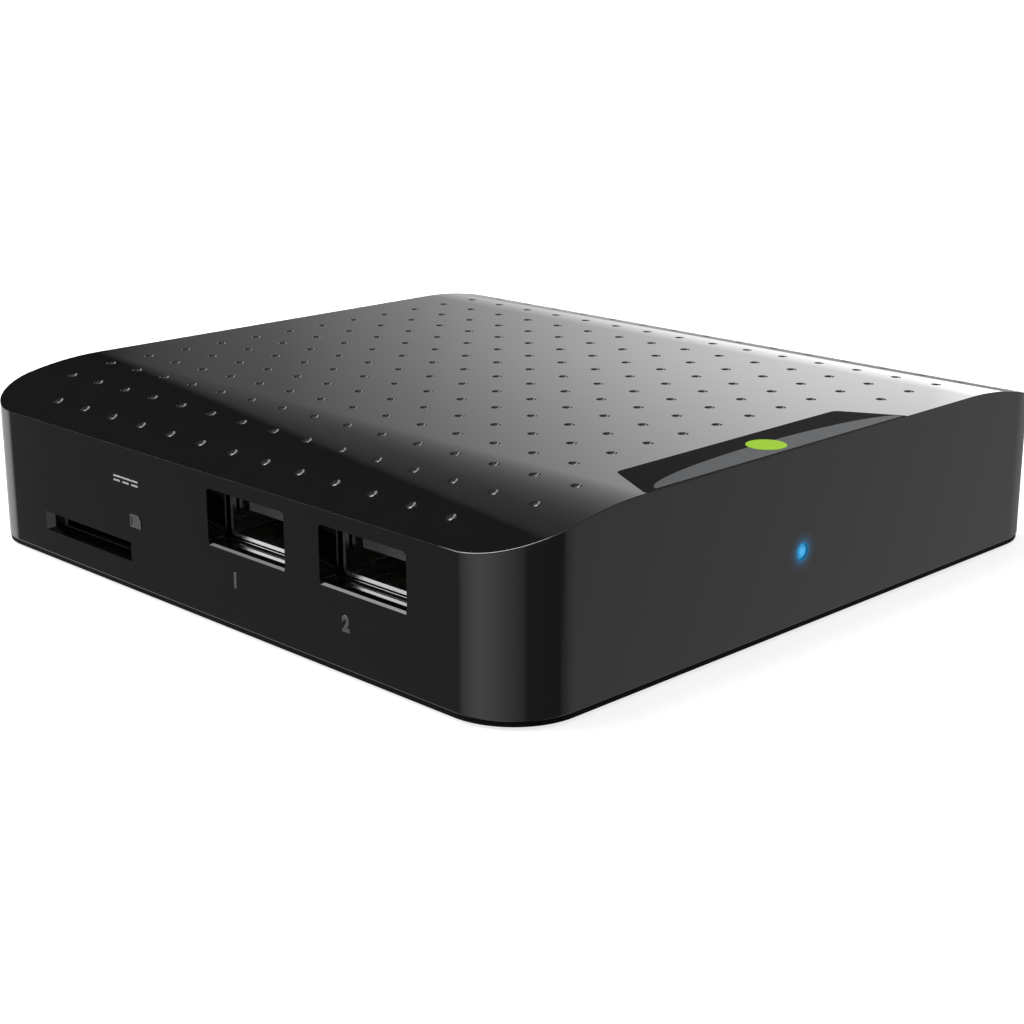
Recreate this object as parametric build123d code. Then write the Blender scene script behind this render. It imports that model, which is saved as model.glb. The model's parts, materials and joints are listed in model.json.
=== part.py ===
from build123d import *
import math
import os

# A small set-top box, in millimetres. X runs to the right as the front is seen, Y to the back, Z up.
# The origin is the middle of the footprint on the surface that the rubber feet stand on.

# Driving dimensions of the case
case_depth = 105.0
corner_radius = 9.1
headroom = 0.9
wall = 2.0
roof = 2.0
crown_shoulder = 20.3
crown_radius = 54.6
rim_round = 0.45
hem_round = 0.25
foot_standoff = 0.4
lip_height = 0.4
lip_inset = 0.4
plate_thickness = 1.4
plate_clearance = 0.1
overrun = 1.0

# Dimple grid on the roof
dimple_pitch = 6.4
dimple_side_margin = 4.0
dimple_end_margin = 7.0
dimple_mouth_radius = 0.7
dimple_depth = 0.55

# Inlay at the front of the roof
inlay_front_width = 49.2
inlay_back_width = 41.0
inlay_depth = 7.7
inlay_front_margin = 0.5
inlay_centre_x = -7.6
inlay_thickness = 0.4
inlay_clearance = 0.05
inlay_corner_radius = 1.0

# Screw towers in the corners, and the case screws that go up into them
tower_inset = 8.3
tower_radius = 3.25
tower_hole_radius = 1.1
tower_hole_depth = 9.0
cup_radius = 4.0
cup_height = 3.8
cup_floor = 1.8
screw_head_pocket_radius = 2.6
screw_clearance = 0.25
case_screw_radius = 1.05
case_screw_length = 7.6
case_screw_head_radius = 2.3
case_screw_head_height = 1.5
screw_drive_width = 0.6
screw_drive_depth = 0.7

# Rubber feet
foot_radius = 4.75
foot_pocket = 0.6
foot_clearance = 0.1
foot_from_side = 20.5
foot_from_end = 9.5
foot_round = 0.25

# Vents in the base plate
vent_count = 9
vent_pitch = 4.2
vent_width = 1.6
vent_length = 26.0
vent_group_y = 22.0

# Locating rib round the base plate
rib_thickness = 1.2
rib_height = 0.8

# Main board
board_low = 7.0
board_thickness = 1.6
board_margin = 4.3
board_notch_clearance = 1.0
post_radius = 3.0
post_hole_radius = 1.05
post_hole_floor = 1.2
board_screw_radius = 1.0
board_screw_length = 5.9
board_screw_head_radius = 2.1
board_screw_head_height = 1.3
board_hole_radius = 1.2
board_post_shares = ((-0.4, 0.074), (0.405, -0.314), (0.405, 0.314), (-0.314, -0.4))

# Side ports: the wall is thicker round the cut-outs
port_wall = 2.85
port_frame_margin = 1.3

# USB sockets in the left wall
usb_place_shares = (-0.0752, -0.2748)
usb_axis_rise = 5.33
usb_cut_width = 14.9
usb_cut_height = 6.85
usb_cut_chamfer = 0.5
usb_cut_corner = 0.5
usb_mouth_gap = 0.15
usb_shell_width = 13.1
usb_shell_height = 5.7
usb_shell_length = 14.0
usb_sheet = 0.3
usb_shell_corner = 0.7
usb_lip_length = 0.45
usb_lip_rise = 0.15
usb_window_from_mouth = 0.55
usb_window_length = 0.5
usb_window_height = 1.9
usb_leg_length = 2.2
usb_leg_from_mouth = 2.4
usb_leg_spacing = 7.0
usb_tongue_setback = 2.0
usb_tongue_side_gap = 0.7
usb_tongue_thickness = 1.84
usb_tongue_top_gap = 0.75
usb_back_thickness = 2.2
usb_fit_gap = 0.05
usb_pedestal_from_mouth = 1.0
usb_contact_count = 4
usb_contact_width = 1.0
usb_contact_pitch = 2.3
usb_contact_thickness = 0.25
usb_contact_from_tip = 0.6

# Card slot and socket in the left wall
card_place_share = 0.2448
card_recess_width = 19.1
card_recess_height = 2.93
card_recess_drop = 0.2
card_recess_depth = 1.6
card_chamfer_width = 1.1
card_chamfer_depth = 0.8
card_ramp_rise = 1.0
card_slot_width = 15.4
card_slot_height = 1.8
card_socket_width = 14.5
card_socket_height = 1.9
card_socket_setback = 1.8
card_sheet = 0.2
card_floor = 0.6
card_rail = 1.2
card_thin_rail = 0.6
card_back_wall = 1.2
card_track_width = 1.15
card_running_gap = 0.1
card_slider_length = 4.0
card_slider_from_mouth = 1.4
card_arm_length = 1.0
card_arm_reach = 2.5
card_travel = 4.0
card_spring_pressed_length = 4.4
card_spring_radius = 0.34
card_spring_wire = 0.09
card_spring_turns = 12
card_contact_count = 8
card_contact_width = 0.6
card_contact_pitch = 1.1
card_contact_length = 3.0
card_contact_thickness = 0.2
card_contact_from_back = 0.6

# Status light and infrared receiver behind the front wall
light_x = -3.8
light_rise = 1.5
light_radius = 1.0
light_clearance = 0.05
light_setback = 0.05
light_flange_radius = 1.9
light_flange_thickness = 0.8
light_dome = 0.35
led_gap = 0.2
led_width = 3.0
led_depth = 1.9
led_height = 2.2
receiver_x = 6.0
receiver_width = 5.6
receiver_depth = 3.4
receiver_height = 6.2
receiver_standoff = 1.6
receiver_lens_radius = 2.2
receiver_from_board_edge = 0.6
receiver_lead = 0.5
receiver_lead_pitch = 1.9

# Parts on the board
processor_size = 15.0
processor_thickness = 1.2
processor_x = -2.0
pad_thickness = 0.8
sink_width = 34.0
sink_base = 1.6
sink_fin_count = 9
sink_fin_thickness = 0.9
sink_fin_height = 4.2
sink_pin_inset = 2.6
sink_pin_radius = 1.1
sink_pin_clearance = 0.2
sink_pin_head_radius = 2.0
sink_pin_head_height = 1.0
sink_pin_barb_radius = 1.9
sink_pin_barb_height = 0.9
memory_width = 9.0
memory_depth = 13.0
memory_thickness = 1.1
memory_gap = 2.5
part_gap = 1.0
flash_width = 11.5
flash_depth = 13.0
flash_thickness = 1.0
flash_x = -27.0
flash_y = -20.5
tuner_width = 17.5
tuner_depth = 20.0
tuner_height = 6.5
tuner_from_memory = 3.0
tuner_from_sockets = 3.25
tuner_sheet = 0.3
tuner_corner = 0.8
radio_width = 12.0
radio_depth = 13.0
radio_thickness = 0.8
radio_shield_height = 1.3
radio_shield_margin = 0.9
radio_y = -17.0
antenna_from_edge = 1.75
antenna_y = -4.0
antenna_length = 16.0
antenna_height = 6.5
antenna_sheet = 0.3
antenna_foot = 2.0
antenna_arm = 1.6
capacitor_radius = 3.15
capacitor_height = 7.7
capacitor_shares = ((-0.343, 0.29), (-0.271, 0.29), (-0.343, 0.219))
capacitor_groove_depth = 0.3
capacitor_groove_height = 0.6
capacitor_groove_level = 1.3
capacitor_top_round = 0.4
inductor_size = 6.0
inductor_height = 3.0
inductor_corner = 1.2
inductor_shares = ((-0.186, 0.29), (-0.11, 0.29))
crystal_length = 11.0
crystal_width = 4.4
crystal_height = 3.5
crystal_x = -12.0
crystal_from_sink = 1.7

# Rear sockets
rear_gap = 0.35
rear_setback = 0.4
socket_gap = 1.25
supply_width = 9.0
supply_height = 11.0
supply_depth = 14.0
supply_bore_radius = 3.15
supply_bore_depth = 9.5
supply_axis_rise = 6.5
supply_pin_radius = 1.0
supply_pin_setback = 1.0
supply_spring_width = 2.4
supply_spring_length = 6.0
supply_spring_thickness = 0.3
av_width = 6.4
av_height = 6.0
av_depth = 12.0
av_nose_radius = 3.0
av_nose_length = 2.2
av_bore_radius = 1.8
av_bore_depth = 11.5
av_axis_rise = 3.0
av_contact_count = 3
av_contact_pitch = 3.0
av_contact_width = 1.2
av_contact_thickness = 0.25
av_contact_length = 3.6
reset_width = 4.4
reset_body_depth = 3.6
reset_body_height = 5.2
reset_axis_rise = 3.4
reset_button_radius = 0.9
reset_button_gap = 0.06
reset_collar_radius = 1.3
reset_collar_length = 0.6
reset_chamber_radius = 1.5
reset_end_gap = 0.39
reset_hole_radius = 1.3
reset_travel = 0.25
reset_tip_setback = 1.1
reset_body_from_wall = 0.5
optical_width = 9.8
optical_height = 10.0
optical_depth = 12.6
optical_face = 3.6
optical_window_width = 6.2
optical_window_height = 6.2
optical_window_rise = 1.7
optical_cavity_width = 7.6
optical_cavity_depth = 8.0
optical_cavity_rise = 1.2
optical_cavity_height = 8.1
shutter_thickness = 0.7
shutter_face_gap = 0.15
shutter_side_gap = 0.3
shutter_foot_gap = 0.2
shutter_axis_drop = 0.75
shutter_pin_radius = 0.35
shutter_pin_gap = 0.05
shutter_pin_reach = 0.4
shutter_pin_end_gap = 0.1
lens_radius = 0.6
lens_length = 0.5
hdmi_width = 15.0
hdmi_height = 5.6
hdmi_depth = 11.0
hdmi_sheet = 0.3
hdmi_corner = 1.6
hdmi_tongue_width = 11.4
hdmi_tongue_thickness = 1.5
hdmi_tongue_setback = 1.2
hdmi_back = 2.4
hdmi_contact_count = 10
hdmi_contact_pitch = 1.0
hdmi_contact_width = 0.4
hdmi_contact_thickness = 0.12
hdmi_contact_from_tip = 0.5
lan_width = 15.9
lan_height = 11.5
lan_depth = 16.0
lan_sheet = 0.25
lan_cavity_width = 11.8
lan_cavity_roof = 2.2
lan_cavity_depth = 12.5
lan_cavity_rise = 1.9
lan_latch_width = 6.2
lan_latch_height = 1.2
lan_contact_count = 8
lan_contact_pitch = 1.02
lan_contact_width = 0.4
lan_contact_thickness = 0.3
lan_contact_length = 7.5
lan_contact_from_mouth = 3.5
aerial_block_width = 11.4
aerial_block_height = 11.6
aerial_block_depth = 4.0
aerial_barrel_radius = 5.6
aerial_bore_radius = 4.78
aerial_barrel_length = 10.5
aerial_axis_rise = 5.8
aerial_insulator_length = 6.0
aerial_contact_radius = 1.8
aerial_contact_bore = 1.22
aerial_contact_bore_depth = 6.5
aerial_contact_length = 8.0

# Levels and faces that follow from the sizes above. The rear sockets stand in a row with even gaps, and
# the case is as wide as that row between its screw towers, and as high as its tallest socket needs.
socket_widths = (supply_width, av_width, reset_width, optical_width, hdmi_width, lan_width, aerial_block_width)
socket_heights = (supply_height, av_height, optical_height, hdmi_height, lan_height, aerial_block_height)
socket_row = sum(socket_widths) + socket_gap * (len(socket_widths) - 1)
case_width = socket_row + 2 * (socket_gap + tower_radius + tower_inset)
plate_low = foot_standoff
cover_bottom = foot_standoff + lip_height
plate_top = cover_bottom + plate_thickness
board_top = board_low + board_thickness
cover_top = board_top + max(socket_heights) + headroom + roof
cover_height = cover_top - cover_bottom
crown_flat_half = case_width / 2 - crown_shoulder
crown_centre_z = cover_top - crown_radius
left_face = -case_width / 2
front_face = -case_depth / 2
rear_face = case_depth / 2
board_left = left_face + board_margin
board_right = case_width / 2 - board_margin - board_margin / 2
board_front = front_face + board_margin + board_margin / 2
board_rear = rear_face - board_margin
tower_x = case_width / 2 - tower_inset
tower_y = case_depth / 2 - tower_inset
foot_x = case_width / 2 - foot_from_side
foot_y = case_depth / 2 - foot_from_end
port_inner_face = left_face + port_wall
usb_mouth = port_inner_face + usb_mouth_gap
usb_centre_z = board_top + usb_axis_rise
usb_tongue_width = usb_shell_width - 2 * (usb_sheet + usb_tongue_side_gap)
card_mouth = port_inner_face + card_socket_setback
card_centre_y = card_place_share * case_depth
card_recess_high = board_low - card_recess_drop
card_recess_low = card_recess_high - card_recess_height
card_slot_low = card_recess_high - card_slot_height
card_low = board_low - card_socket_height
card_axis_low = card_low + card_sheet
card_axis_high = board_low - card_floor
light_z = board_top + light_rise
socket_face = rear_face - rear_setback
wall_inner_rear = rear_face - wall

# The places of the rear sockets along their row
supply_x = (supply_width - socket_row) / 2
av_x = supply_x + socket_gap + (supply_width + av_width) / 2
reset_x = av_x + socket_gap + (av_width + reset_width) / 2
optical_x = reset_x + socket_gap + (reset_width + optical_width) / 2
hdmi_x = optical_x + socket_gap + (optical_width + hdmi_width) / 2
lan_x = hdmi_x + socket_gap + (hdmi_width + lan_width) / 2
aerial_x = lan_x + socket_gap + (lan_width + aerial_block_width) / 2

# Parts of the board, from the rear sockets forward and from the right edge inward
memory_x = processor_x + sink_width / 2 + part_gap + memory_width / 2
memory_spacing = memory_depth + memory_gap
tuner_x = memory_x - memory_width / 2 + tuner_from_memory + tuner_width / 2
sockets_back = socket_face - max(lan_depth, aerial_barrel_length + aerial_block_depth)
tuner_y = sockets_back - tuner_from_sockets - tuner_depth / 2
processor_y = tuner_y - (memory_spacing + memory_depth + tuner_depth) / 2 - part_gap
crystal_y = processor_y + (sink_width + crystal_width) / 2 + crystal_from_sink
antenna_x = board_right - antenna_from_edge - antenna_sheet
radio_x = antenna_x - antenna_foot - part_gap - radio_width / 2


def block(low, high):
    """A box between two opposite corners."""
    size = [b - a for a, b in zip(low, high)]
    return Pos(*low) * Box(*size, align=(Align.MIN, Align.MIN, Align.MIN))


def rod(start, direction, radius, length):
    """A round bar that starts at a point and runs along a direction."""
    bar = Cylinder(radius, length, align=(Align.CENTER, Align.CENTER, Align.MIN))
    return Plane(origin=start, z_dir=direction) * bar


def joined(pieces):
    """Touching or overlapping solids as one."""
    total = pieces[0]
    for piece in pieces[1:]:
        total = total + piece
    return total


def group(pieces):
    """Separate solids kept together in one file."""
    solids = []
    for piece in pieces:
        solids += piece.solids()
    return Compound(children=solids)


def rounded_tube(width, height, corner, depth):
    """A bar of rounded rectangular section, centred, that runs along its own Z."""
    return extrude(RectangleRounded(width, height, corner), depth)


def corners(x, y):
    return [(sx * x, sy * y) for sx in (-1, 1) for sy in (-1, 1)]


# Case


def footprint(inset, low, high):
    """The rounded square outline, drawn in by an inset, between two levels."""
    outline = RectangleRounded(case_width - 2 * inset, case_depth - 2 * inset, corner_radius - inset)
    return Pos(0, 0, low) * extrude(outline, high - low)


def crown_point(side, angle, inset):
    radius = crown_radius - inset
    return (side * (crown_flat_half + radius * math.sin(angle)), crown_centre_z + radius * math.cos(angle))


def crown_prism(inset):
    """Everything below the crowned roof, or below its inner face when drawn in by an inset."""
    end = math.asin((case_width / 2 - crown_flat_half + overrun) / (crown_radius - inset))
    right = [crown_point(1, share * end, inset) for share in (0, 1 / 2, 1)]
    left = [crown_point(-1, share * end, inset) for share in (0, 1 / 2, 1)]
    side = right[2][0]
    edges = [
        ThreePointArc(left[2], left[1], left[0]),
        Line(left[0], right[0]),
        ThreePointArc(right[0], right[1], right[2]),
        Line(right[2], (side, -overrun)),
        Line((side, -overrun), (-side, -overrun)),
        Line((-side, -overrun), left[2]),
    ]
    section = Plane.XZ * make_face(edges)
    return extrude(section, case_depth / 2 + overrun, both=True)


def crown_level(x):
    """Height of the roof over a point."""
    beyond = max(abs(x) - crown_flat_half, 0)
    return crown_centre_z + math.sqrt(crown_radius**2 - beyond**2)


def inlay_outline(gap):
    """The trapezoid of the inlay, grown by a gap, seen from above."""
    front = front_face + inlay_front_margin - gap
    back = front_face + inlay_front_margin + inlay_depth + gap
    half_front = inlay_front_width / 2 + gap
    half_back = inlay_back_width / 2 + gap
    outline = [
        (inlay_centre_x - half_front, front),
        (inlay_centre_x + half_front, front),
        (inlay_centre_x + half_back, back),
        (inlay_centre_x - half_back, back),
    ]
    trapezoid = make_face(Polyline(*outline, close=True))
    far_corners = trapezoid.vertices().sort_by(Axis.Y)[-2:]
    return fillet(far_corners, inlay_corner_radius + gap)


def make_inlay():
    return Pos(0, 0, cover_top - inlay_thickness) * extrude(inlay_outline(0), inlay_thickness)


def dimple_places():
    """Centres of the dimples: a square grid without its corners and without those that meet the inlay."""
    half_width = inlay_back_width / 2 + dimple_pitch / 2
    inlay_back = front_face + inlay_front_margin + inlay_depth
    dimple_columns = int((case_width - 2 * dimple_side_margin) / dimple_pitch) + 1
    dimple_rows = int((case_depth - 2 * dimple_end_margin) / dimple_pitch) + 1
    places = []
    for column in range(dimple_columns):
        x = (column - (dimple_columns - 1) / 2) * dimple_pitch
        for row in range(dimple_rows):
            y = (row - (dimple_rows - 1) / 2) * dimple_pitch
            at_corner = column in (0, dimple_columns - 1) and row in (0, dimple_rows - 1)
            on_inlay = abs(x - inlay_centre_x) < half_width and y < inlay_back + 2 * dimple_mouth_radius
            if not at_corner and not on_inlay:
                places.append((x, y))
    return places


def dimple_cutters():
    ball_radius = (dimple_mouth_radius**2 + dimple_depth**2) / (2 * dimple_depth)
    cutters = []
    for x, y in dimple_places():
        lift = ball_radius - dimple_depth
        beyond = math.copysign(max(abs(x) - crown_flat_half, 0), x)
        slope = math.asin(beyond / crown_radius)
        centre = (x + lift * math.sin(slope), y, crown_level(x) + lift * math.cos(slope))
        cutters.append(Pos(*centre) * Sphere(ball_radius))
    return cutters


def usb_places():
    return [share * case_depth for share in usb_place_shares]


def usb_cutter(centre_y):
    """The opening for one USB socket, with the chamfer along its lower edge."""
    plane = Plane(origin=(left_face - overrun, centre_y, usb_centre_z), x_dir=(0, 1, 0), z_dir=(1, 0, 0))
    hole = plane * rounded_tube(usb_cut_width, usb_cut_height, usb_cut_corner, port_wall + 2 * overrun)
    low = usb_centre_z - usb_cut_height / 2
    slope = Plane.XZ * make_face(Polyline(
        (left_face - usb_cut_chamfer, low - 2 * usb_cut_chamfer),
        (left_face + usb_cut_chamfer, low),
        (left_face + usb_cut_chamfer, low + usb_cut_chamfer),
        (left_face - usb_cut_chamfer, low + usb_cut_chamfer),
        close=True))
    ledge = Pos(0, centre_y, 0) * extrude(slope, usb_cut_width / 2, both=True)
    return hole + ledge


def card_cutter():
    """The finger recess with its ramp and end chamfer, and the slot behind it."""
    half = card_recess_width / 2
    recess_back = left_face + card_recess_depth
    profile = Plane.XZ * make_face(Polyline(
        (left_face - overrun, card_recess_low),
        (left_face, card_recess_low),
        (recess_back, card_recess_low + card_ramp_rise),
        (recess_back, card_recess_high),
        (left_face - overrun, card_recess_high),
        close=True))
    recess = Pos(0, card_centre_y, 0) * extrude(profile, half, both=True)
    end = card_centre_y + half
    wedge = make_face(Polyline(
        (left_face, end - card_chamfer_width),
        (left_face + card_chamfer_depth, end - card_chamfer_width),
        (left_face + card_chamfer_depth, end),
        (left_face, end + card_chamfer_width),
        (left_face - overrun, end + card_chamfer_width),
        (left_face - overrun, end - card_chamfer_width),
        close=True))
    chamfered_end = Pos(0, 0, card_recess_low) * extrude(wedge, card_recess_high - card_recess_low)
    slot = block(
        (left_face, card_centre_y - card_slot_width / 2, card_slot_low),
        (port_inner_face + overrun, card_centre_y + card_slot_width / 2, card_recess_high))
    return recess + chamfered_end + slot


def port_frames():
    """The thicker wall round the side ports, inside the cover."""
    low = usb_centre_z - usb_cut_height / 2 - port_frame_margin
    first, last = usb_places()
    usb_frame = block(
        (left_face, last - usb_cut_width / 2 - port_frame_margin, low),
        (port_inner_face, first + usb_cut_width / 2 + port_frame_margin, cover_top))
    card_frame = block(
        (left_face, card_centre_y - card_recess_width / 2 - port_frame_margin, card_recess_low - rib_height / 2),
        (port_inner_face, card_centre_y + card_recess_width / 2 + 2 * port_frame_margin,
         card_recess_high + port_frame_margin))
    return [usb_frame, card_frame]


def towers():
    return [rod((x, y, plate_low + cup_height), (0, 0, 1), tower_radius, cover_height)
            for x, y in corners(tower_x, tower_y)]


def tower_holes():
    return [rod((x, y, plate_low + cup_height - overrun), (0, 0, 1), tower_hole_radius,
                tower_hole_depth + overrun) for x, y in corners(tower_x, tower_y)]


def rear_cutters():
    """Openings in the rear wall, each round the face of its socket."""
    start = wall_inner_rear - overrun
    depth = wall + 2 * overrun

    def square_hole(x, low, width, height):
        return block((x - width / 2 - rear_gap, start, low - rear_gap),
                     (x + width / 2 + rear_gap, start + depth, low + height + rear_gap))

    def round_hole(x, z, radius):
        return rod((x, start, z), (0, 1, 0), radius, depth)

    return [
        square_hole(supply_x, board_top, supply_width, supply_height),
        round_hole(av_x, board_top + av_axis_rise, av_nose_radius + rear_gap),
        round_hole(reset_x, board_top + reset_axis_rise, reset_hole_radius),
        square_hole(optical_x, board_top, optical_width, optical_height),
        square_hole(hdmi_x, board_top, hdmi_width, hdmi_height),
        square_hole(lan_x, board_top, lan_width, lan_height),
        round_hole(aerial_x, board_top + aerial_axis_rise, aerial_barrel_radius + rear_gap),
    ]


def rim_edges(shell):
    """The edges where the roof meets the walls."""
    side_level = crown_level(case_width / 2) - rim_round
    seam_length = case_depth - overrun
    edges = []
    for edge in shell.edges():
        box = edge.bounding_box()
        is_seam = box.size.Y > seam_length and abs(edge.center().X) < case_width / 2 - wall
        if box.min.Z > side_level and not is_seam:
            edges.append(edge)
    return edges


def hem_edges(shell):
    return [edge for edge in shell.edges() if edge.bounding_box().max.Z < cover_bottom + hem_round]


def make_cover():
    shell = footprint(0, cover_bottom, cover_top + overrun) & crown_prism(0)
    shell = fillet(rim_edges(shell), rim_round)
    shell = fillet(hem_edges(shell), hem_round)
    hollow = footprint(wall, cover_bottom - overrun, cover_top) & crown_prism(roof)
    for kept in port_frames() + towers():
        hollow -= kept
    shell -= hollow
    cutters = [usb_cutter(y) for y in usb_places()] + [card_cutter()] + rear_cutters() + tower_holes()
    cutters.append(rod((light_x, front_face - overrun, light_z), (0, 1, 0),
                       light_radius + light_clearance, wall + 2 * overrun))
    cutters.append(Pos(0, 0, cover_top - inlay_thickness)
                   * extrude(inlay_outline(inlay_clearance), inlay_thickness + overrun))
    for cutter in cutters:
        shell -= cutter
    return shell - dimple_cutters()


def make_base():
    lip = footprint(lip_inset, plate_low, cover_bottom)
    plate = footprint(wall + plate_clearance, plate_low, plate_top)
    rib = footprint(wall + plate_clearance, plate_low, plate_top + rib_height)
    rib -= footprint(wall + plate_clearance + rib_thickness, plate_low - overrun,
                     plate_top + rib_height + overrun)
    base = lip + plate + rib
    for x, y in corners(tower_x, tower_y):
        base += rod((x, y, plate_low), (0, 0, 1), cup_radius, cup_height)
    for x, y in sites(board_post_shares):
        base += rod((x, y, plate_low), (0, 0, 1), post_radius, board_low - plate_low)
    for x, y in corners(tower_x, tower_y):
        base -= rod((x, y, plate_low - overrun), (0, 0, 1), screw_head_pocket_radius, cup_floor + overrun)
        base -= rod((x, y, plate_low), (0, 0, 1), case_screw_radius + screw_clearance, cup_height + overrun)
    for x, y in sites(board_post_shares):
        base -= rod((x, y, post_hole_floor), (0, 0, 1), post_hole_radius, board_top)
    for x, y in corners(foot_x, foot_y):
        base -= rod((x, y, plate_low - overrun), (0, 0, 1), foot_radius + foot_clearance,
                    foot_pocket + overrun)
    slot = SlotOverall(vent_length, vent_width)
    for side in (-1, 1):
        for number in range(vent_count):
            x = (number - (vent_count - 1) / 2) * vent_pitch
            place = Pos(x, side * vent_group_y, plate_low - overrun) * Rot(0, 0, 90)
            base -= place * extrude(slot, plate_thickness + lip_height + 2 * overrun)
    return base


def pan_screw(head_radius, head_height, shank_radius, shank_length):
    """A pan head screw at the origin: head below, shank up, with a crossed drive in the head."""
    head = Pos(0, 0, -head_height) * Cylinder(head_radius, head_height,
                                              align=(Align.CENTER, Align.CENTER, Align.MIN))
    head = fillet(head.edges().sort_by(Axis.Z)[0], head_height / 3)
    for turn in (0, 90):
        arm = Box(head_radius, screw_drive_width, screw_drive_depth, align=(Align.CENTER, Align.CENTER, Align.MIN))
        head -= Pos(0, 0, -head_height) * Rot(0, 0, turn) * arm
    return head + Cylinder(shank_radius, shank_length, align=(Align.CENTER, Align.CENTER, Align.MIN))


def make_case_screws():
    screw = pan_screw(case_screw_head_radius, case_screw_head_height, case_screw_radius, case_screw_length)
    return group([Pos(x, y, plate_low + cup_floor) * screw for x, y in corners(tower_x, tower_y)])


def make_board_screws():
    screw = pan_screw(board_screw_head_radius, board_screw_head_height, board_screw_radius, board_screw_length)
    return group([Pos(x, y, board_top) * Rot(180, 0, 0) * screw for x, y in sites(board_post_shares)])


def make_feet():
    height = foot_standoff + foot_pocket
    foot = Cylinder(foot_radius, height, align=(Align.CENTER, Align.CENTER, Align.MIN))
    foot = fillet(foot.edges().sort_by(Axis.Z)[0], foot_round)
    return [Pos(x, y, 0) * foot for x, y in corners(foot_x, foot_y)]


# Main board and what stands on it


def sites(shares):
    """Places given as shares of the width and depth of the case."""
    return [(share_x * case_width, share_y * case_depth) for share_x, share_y in shares]


def sink_pin_places():
    reach = sink_width / 2 - sink_pin_inset
    return [(processor_x - reach, processor_y + reach), (processor_x + reach, processor_y - reach)]


def make_board():
    board = block((board_left, board_front, board_low), (board_right, board_rear, board_top))
    for x, y in corners(case_width / 2, case_depth / 2):
        reach = tower_inset + tower_radius + board_notch_clearance
        low = (min(x, x - math.copysign(reach, x)), min(y, y - math.copysign(reach, y)), board_low - overrun)
        high = (max(x, x - math.copysign(reach, x)), max(y, y - math.copysign(reach, y)), board_top + overrun)
        board -= block(low, high)
    for x, y in sites(board_post_shares):
        board -= rod((x, y, board_low - overrun), (0, 0, 1), board_hole_radius, board_thickness + 2 * overrun)
    for x, y in sink_pin_places():
        board -= rod((x, y, board_low - overrun), (0, 0, 1), sink_pin_radius + sink_pin_clearance,
                     board_thickness + 2 * overrun)
    return board


def chip(x, y, low, width, depth, height):
    return block((x - width / 2, y - depth / 2, low), (x + width / 2, y + depth / 2, low + height))


def make_processor():
    body = chip(processor_x, processor_y, board_top, processor_size, processor_size, processor_thickness)
    return chamfer(body.edges().group_by(Axis.Z)[-1], processor_thickness / 6)


def make_pad():
    low = board_top + processor_thickness
    return chip(processor_x, processor_y, low, processor_size, processor_size, pad_thickness)


def make_sink():
    low = board_top + processor_thickness + pad_thickness
    sink = chip(processor_x, processor_y, low, sink_width, sink_width, sink_base)
    fin_top = low + sink_base
    pitch = (sink_width - sink_fin_thickness) / (sink_fin_count - 1)
    for number in range(sink_fin_count):
        x = processor_x + (number - (sink_fin_count - 1) / 2) * pitch
        sink += chip(x, processor_y, fin_top, sink_fin_thickness, sink_width, sink_fin_height)
    for x, y in sink_pin_places():
        clear = sink_pin_head_radius + sink_pin_clearance
        sink -= rod((x, y, fin_top), (0, 0, 1), clear, sink_fin_height + overrun)
        sink -= rod((x, y, low - overrun), (0, 0, 1), sink_pin_radius + sink_pin_clearance,
                    sink_base + 2 * overrun)
    return max(sink.solids(), key=lambda solid: solid.volume)


def make_sink_pins():
    sink_top = board_top + processor_thickness + pad_thickness + sink_base
    pins = []
    for x, y in sink_pin_places():
        shaft = rod((x, y, board_low - sink_pin_barb_height), (0, 0, 1), sink_pin_radius,
                    sink_top - board_low + sink_pin_barb_height)
        head = rod((x, y, sink_top), (0, 0, 1), sink_pin_head_radius, sink_pin_head_height)
        head = fillet(head.edges().sort_by(Axis.Z)[-1], sink_pin_head_height / 2)
        barb = Pos(x, y, board_low - sink_pin_barb_height) * Cone(
            sink_pin_radius, sink_pin_barb_radius, sink_pin_barb_height,
            align=(Align.CENTER, Align.CENTER, Align.MIN))
        pins.append(joined([shaft, head, barb]))
    return group(pins)


def make_memory():
    places = [(memory_x, processor_y + step * memory_spacing / 2) for step in (-1, 1)]
    return group([chip(x, y, board_top, memory_width, memory_depth, memory_thickness) for x, y in places])


def make_tuner():
    outer = chip(tuner_x, tuner_y, board_top, tuner_width, tuner_depth, tuner_height)
    outer = fillet(outer.edges().group_by(Axis.Z)[-1], tuner_corner)
    inside = chip(tuner_x, tuner_y, board_top - overrun, tuner_width - 2 * tuner_sheet,
                  tuner_depth - 2 * tuner_sheet, tuner_height - tuner_sheet + overrun)
    return outer - inside


def make_radio():
    return chip(radio_x, radio_y, board_top, radio_width, radio_depth, radio_thickness)


def make_radio_shield():
    width = radio_width - 2 * radio_shield_margin
    depth = radio_depth - 2 * radio_shield_margin
    shield = chip(radio_x, radio_y, board_top + radio_thickness, width, depth, radio_shield_height)
    return fillet(shield.edges().group_by(Axis.Z)[-1], radio_shield_height / 4)


def make_antenna():
    """A bent strip: two legs, a long arm between their tops and a turned-back tail."""
    half = antenna_length / 2
    top = board_top + antenna_height
    right = antenna_x + antenna_sheet
    mid_y = antenna_y - half + 3 * antenna_foot
    arm = block((antenna_x, antenna_y - half, top - antenna_arm), (right, antenna_y + half, top))
    first = block((antenna_x, antenna_y - half, board_top), (right, antenna_y - half + antenna_arm, top))
    second = block((antenna_x, mid_y, board_top), (right, mid_y + antenna_arm, top))
    foot = block((antenna_x - antenna_foot, antenna_y - half, board_top),
                 (antenna_x, antenna_y - half + antenna_arm, board_top + antenna_sheet))
    tail = block((antenna_x, antenna_y + half - antenna_arm, top - 2 * antenna_arm),
                 (right, antenna_y + half, top))
    return joined([arm, first, second, foot, tail])


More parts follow.
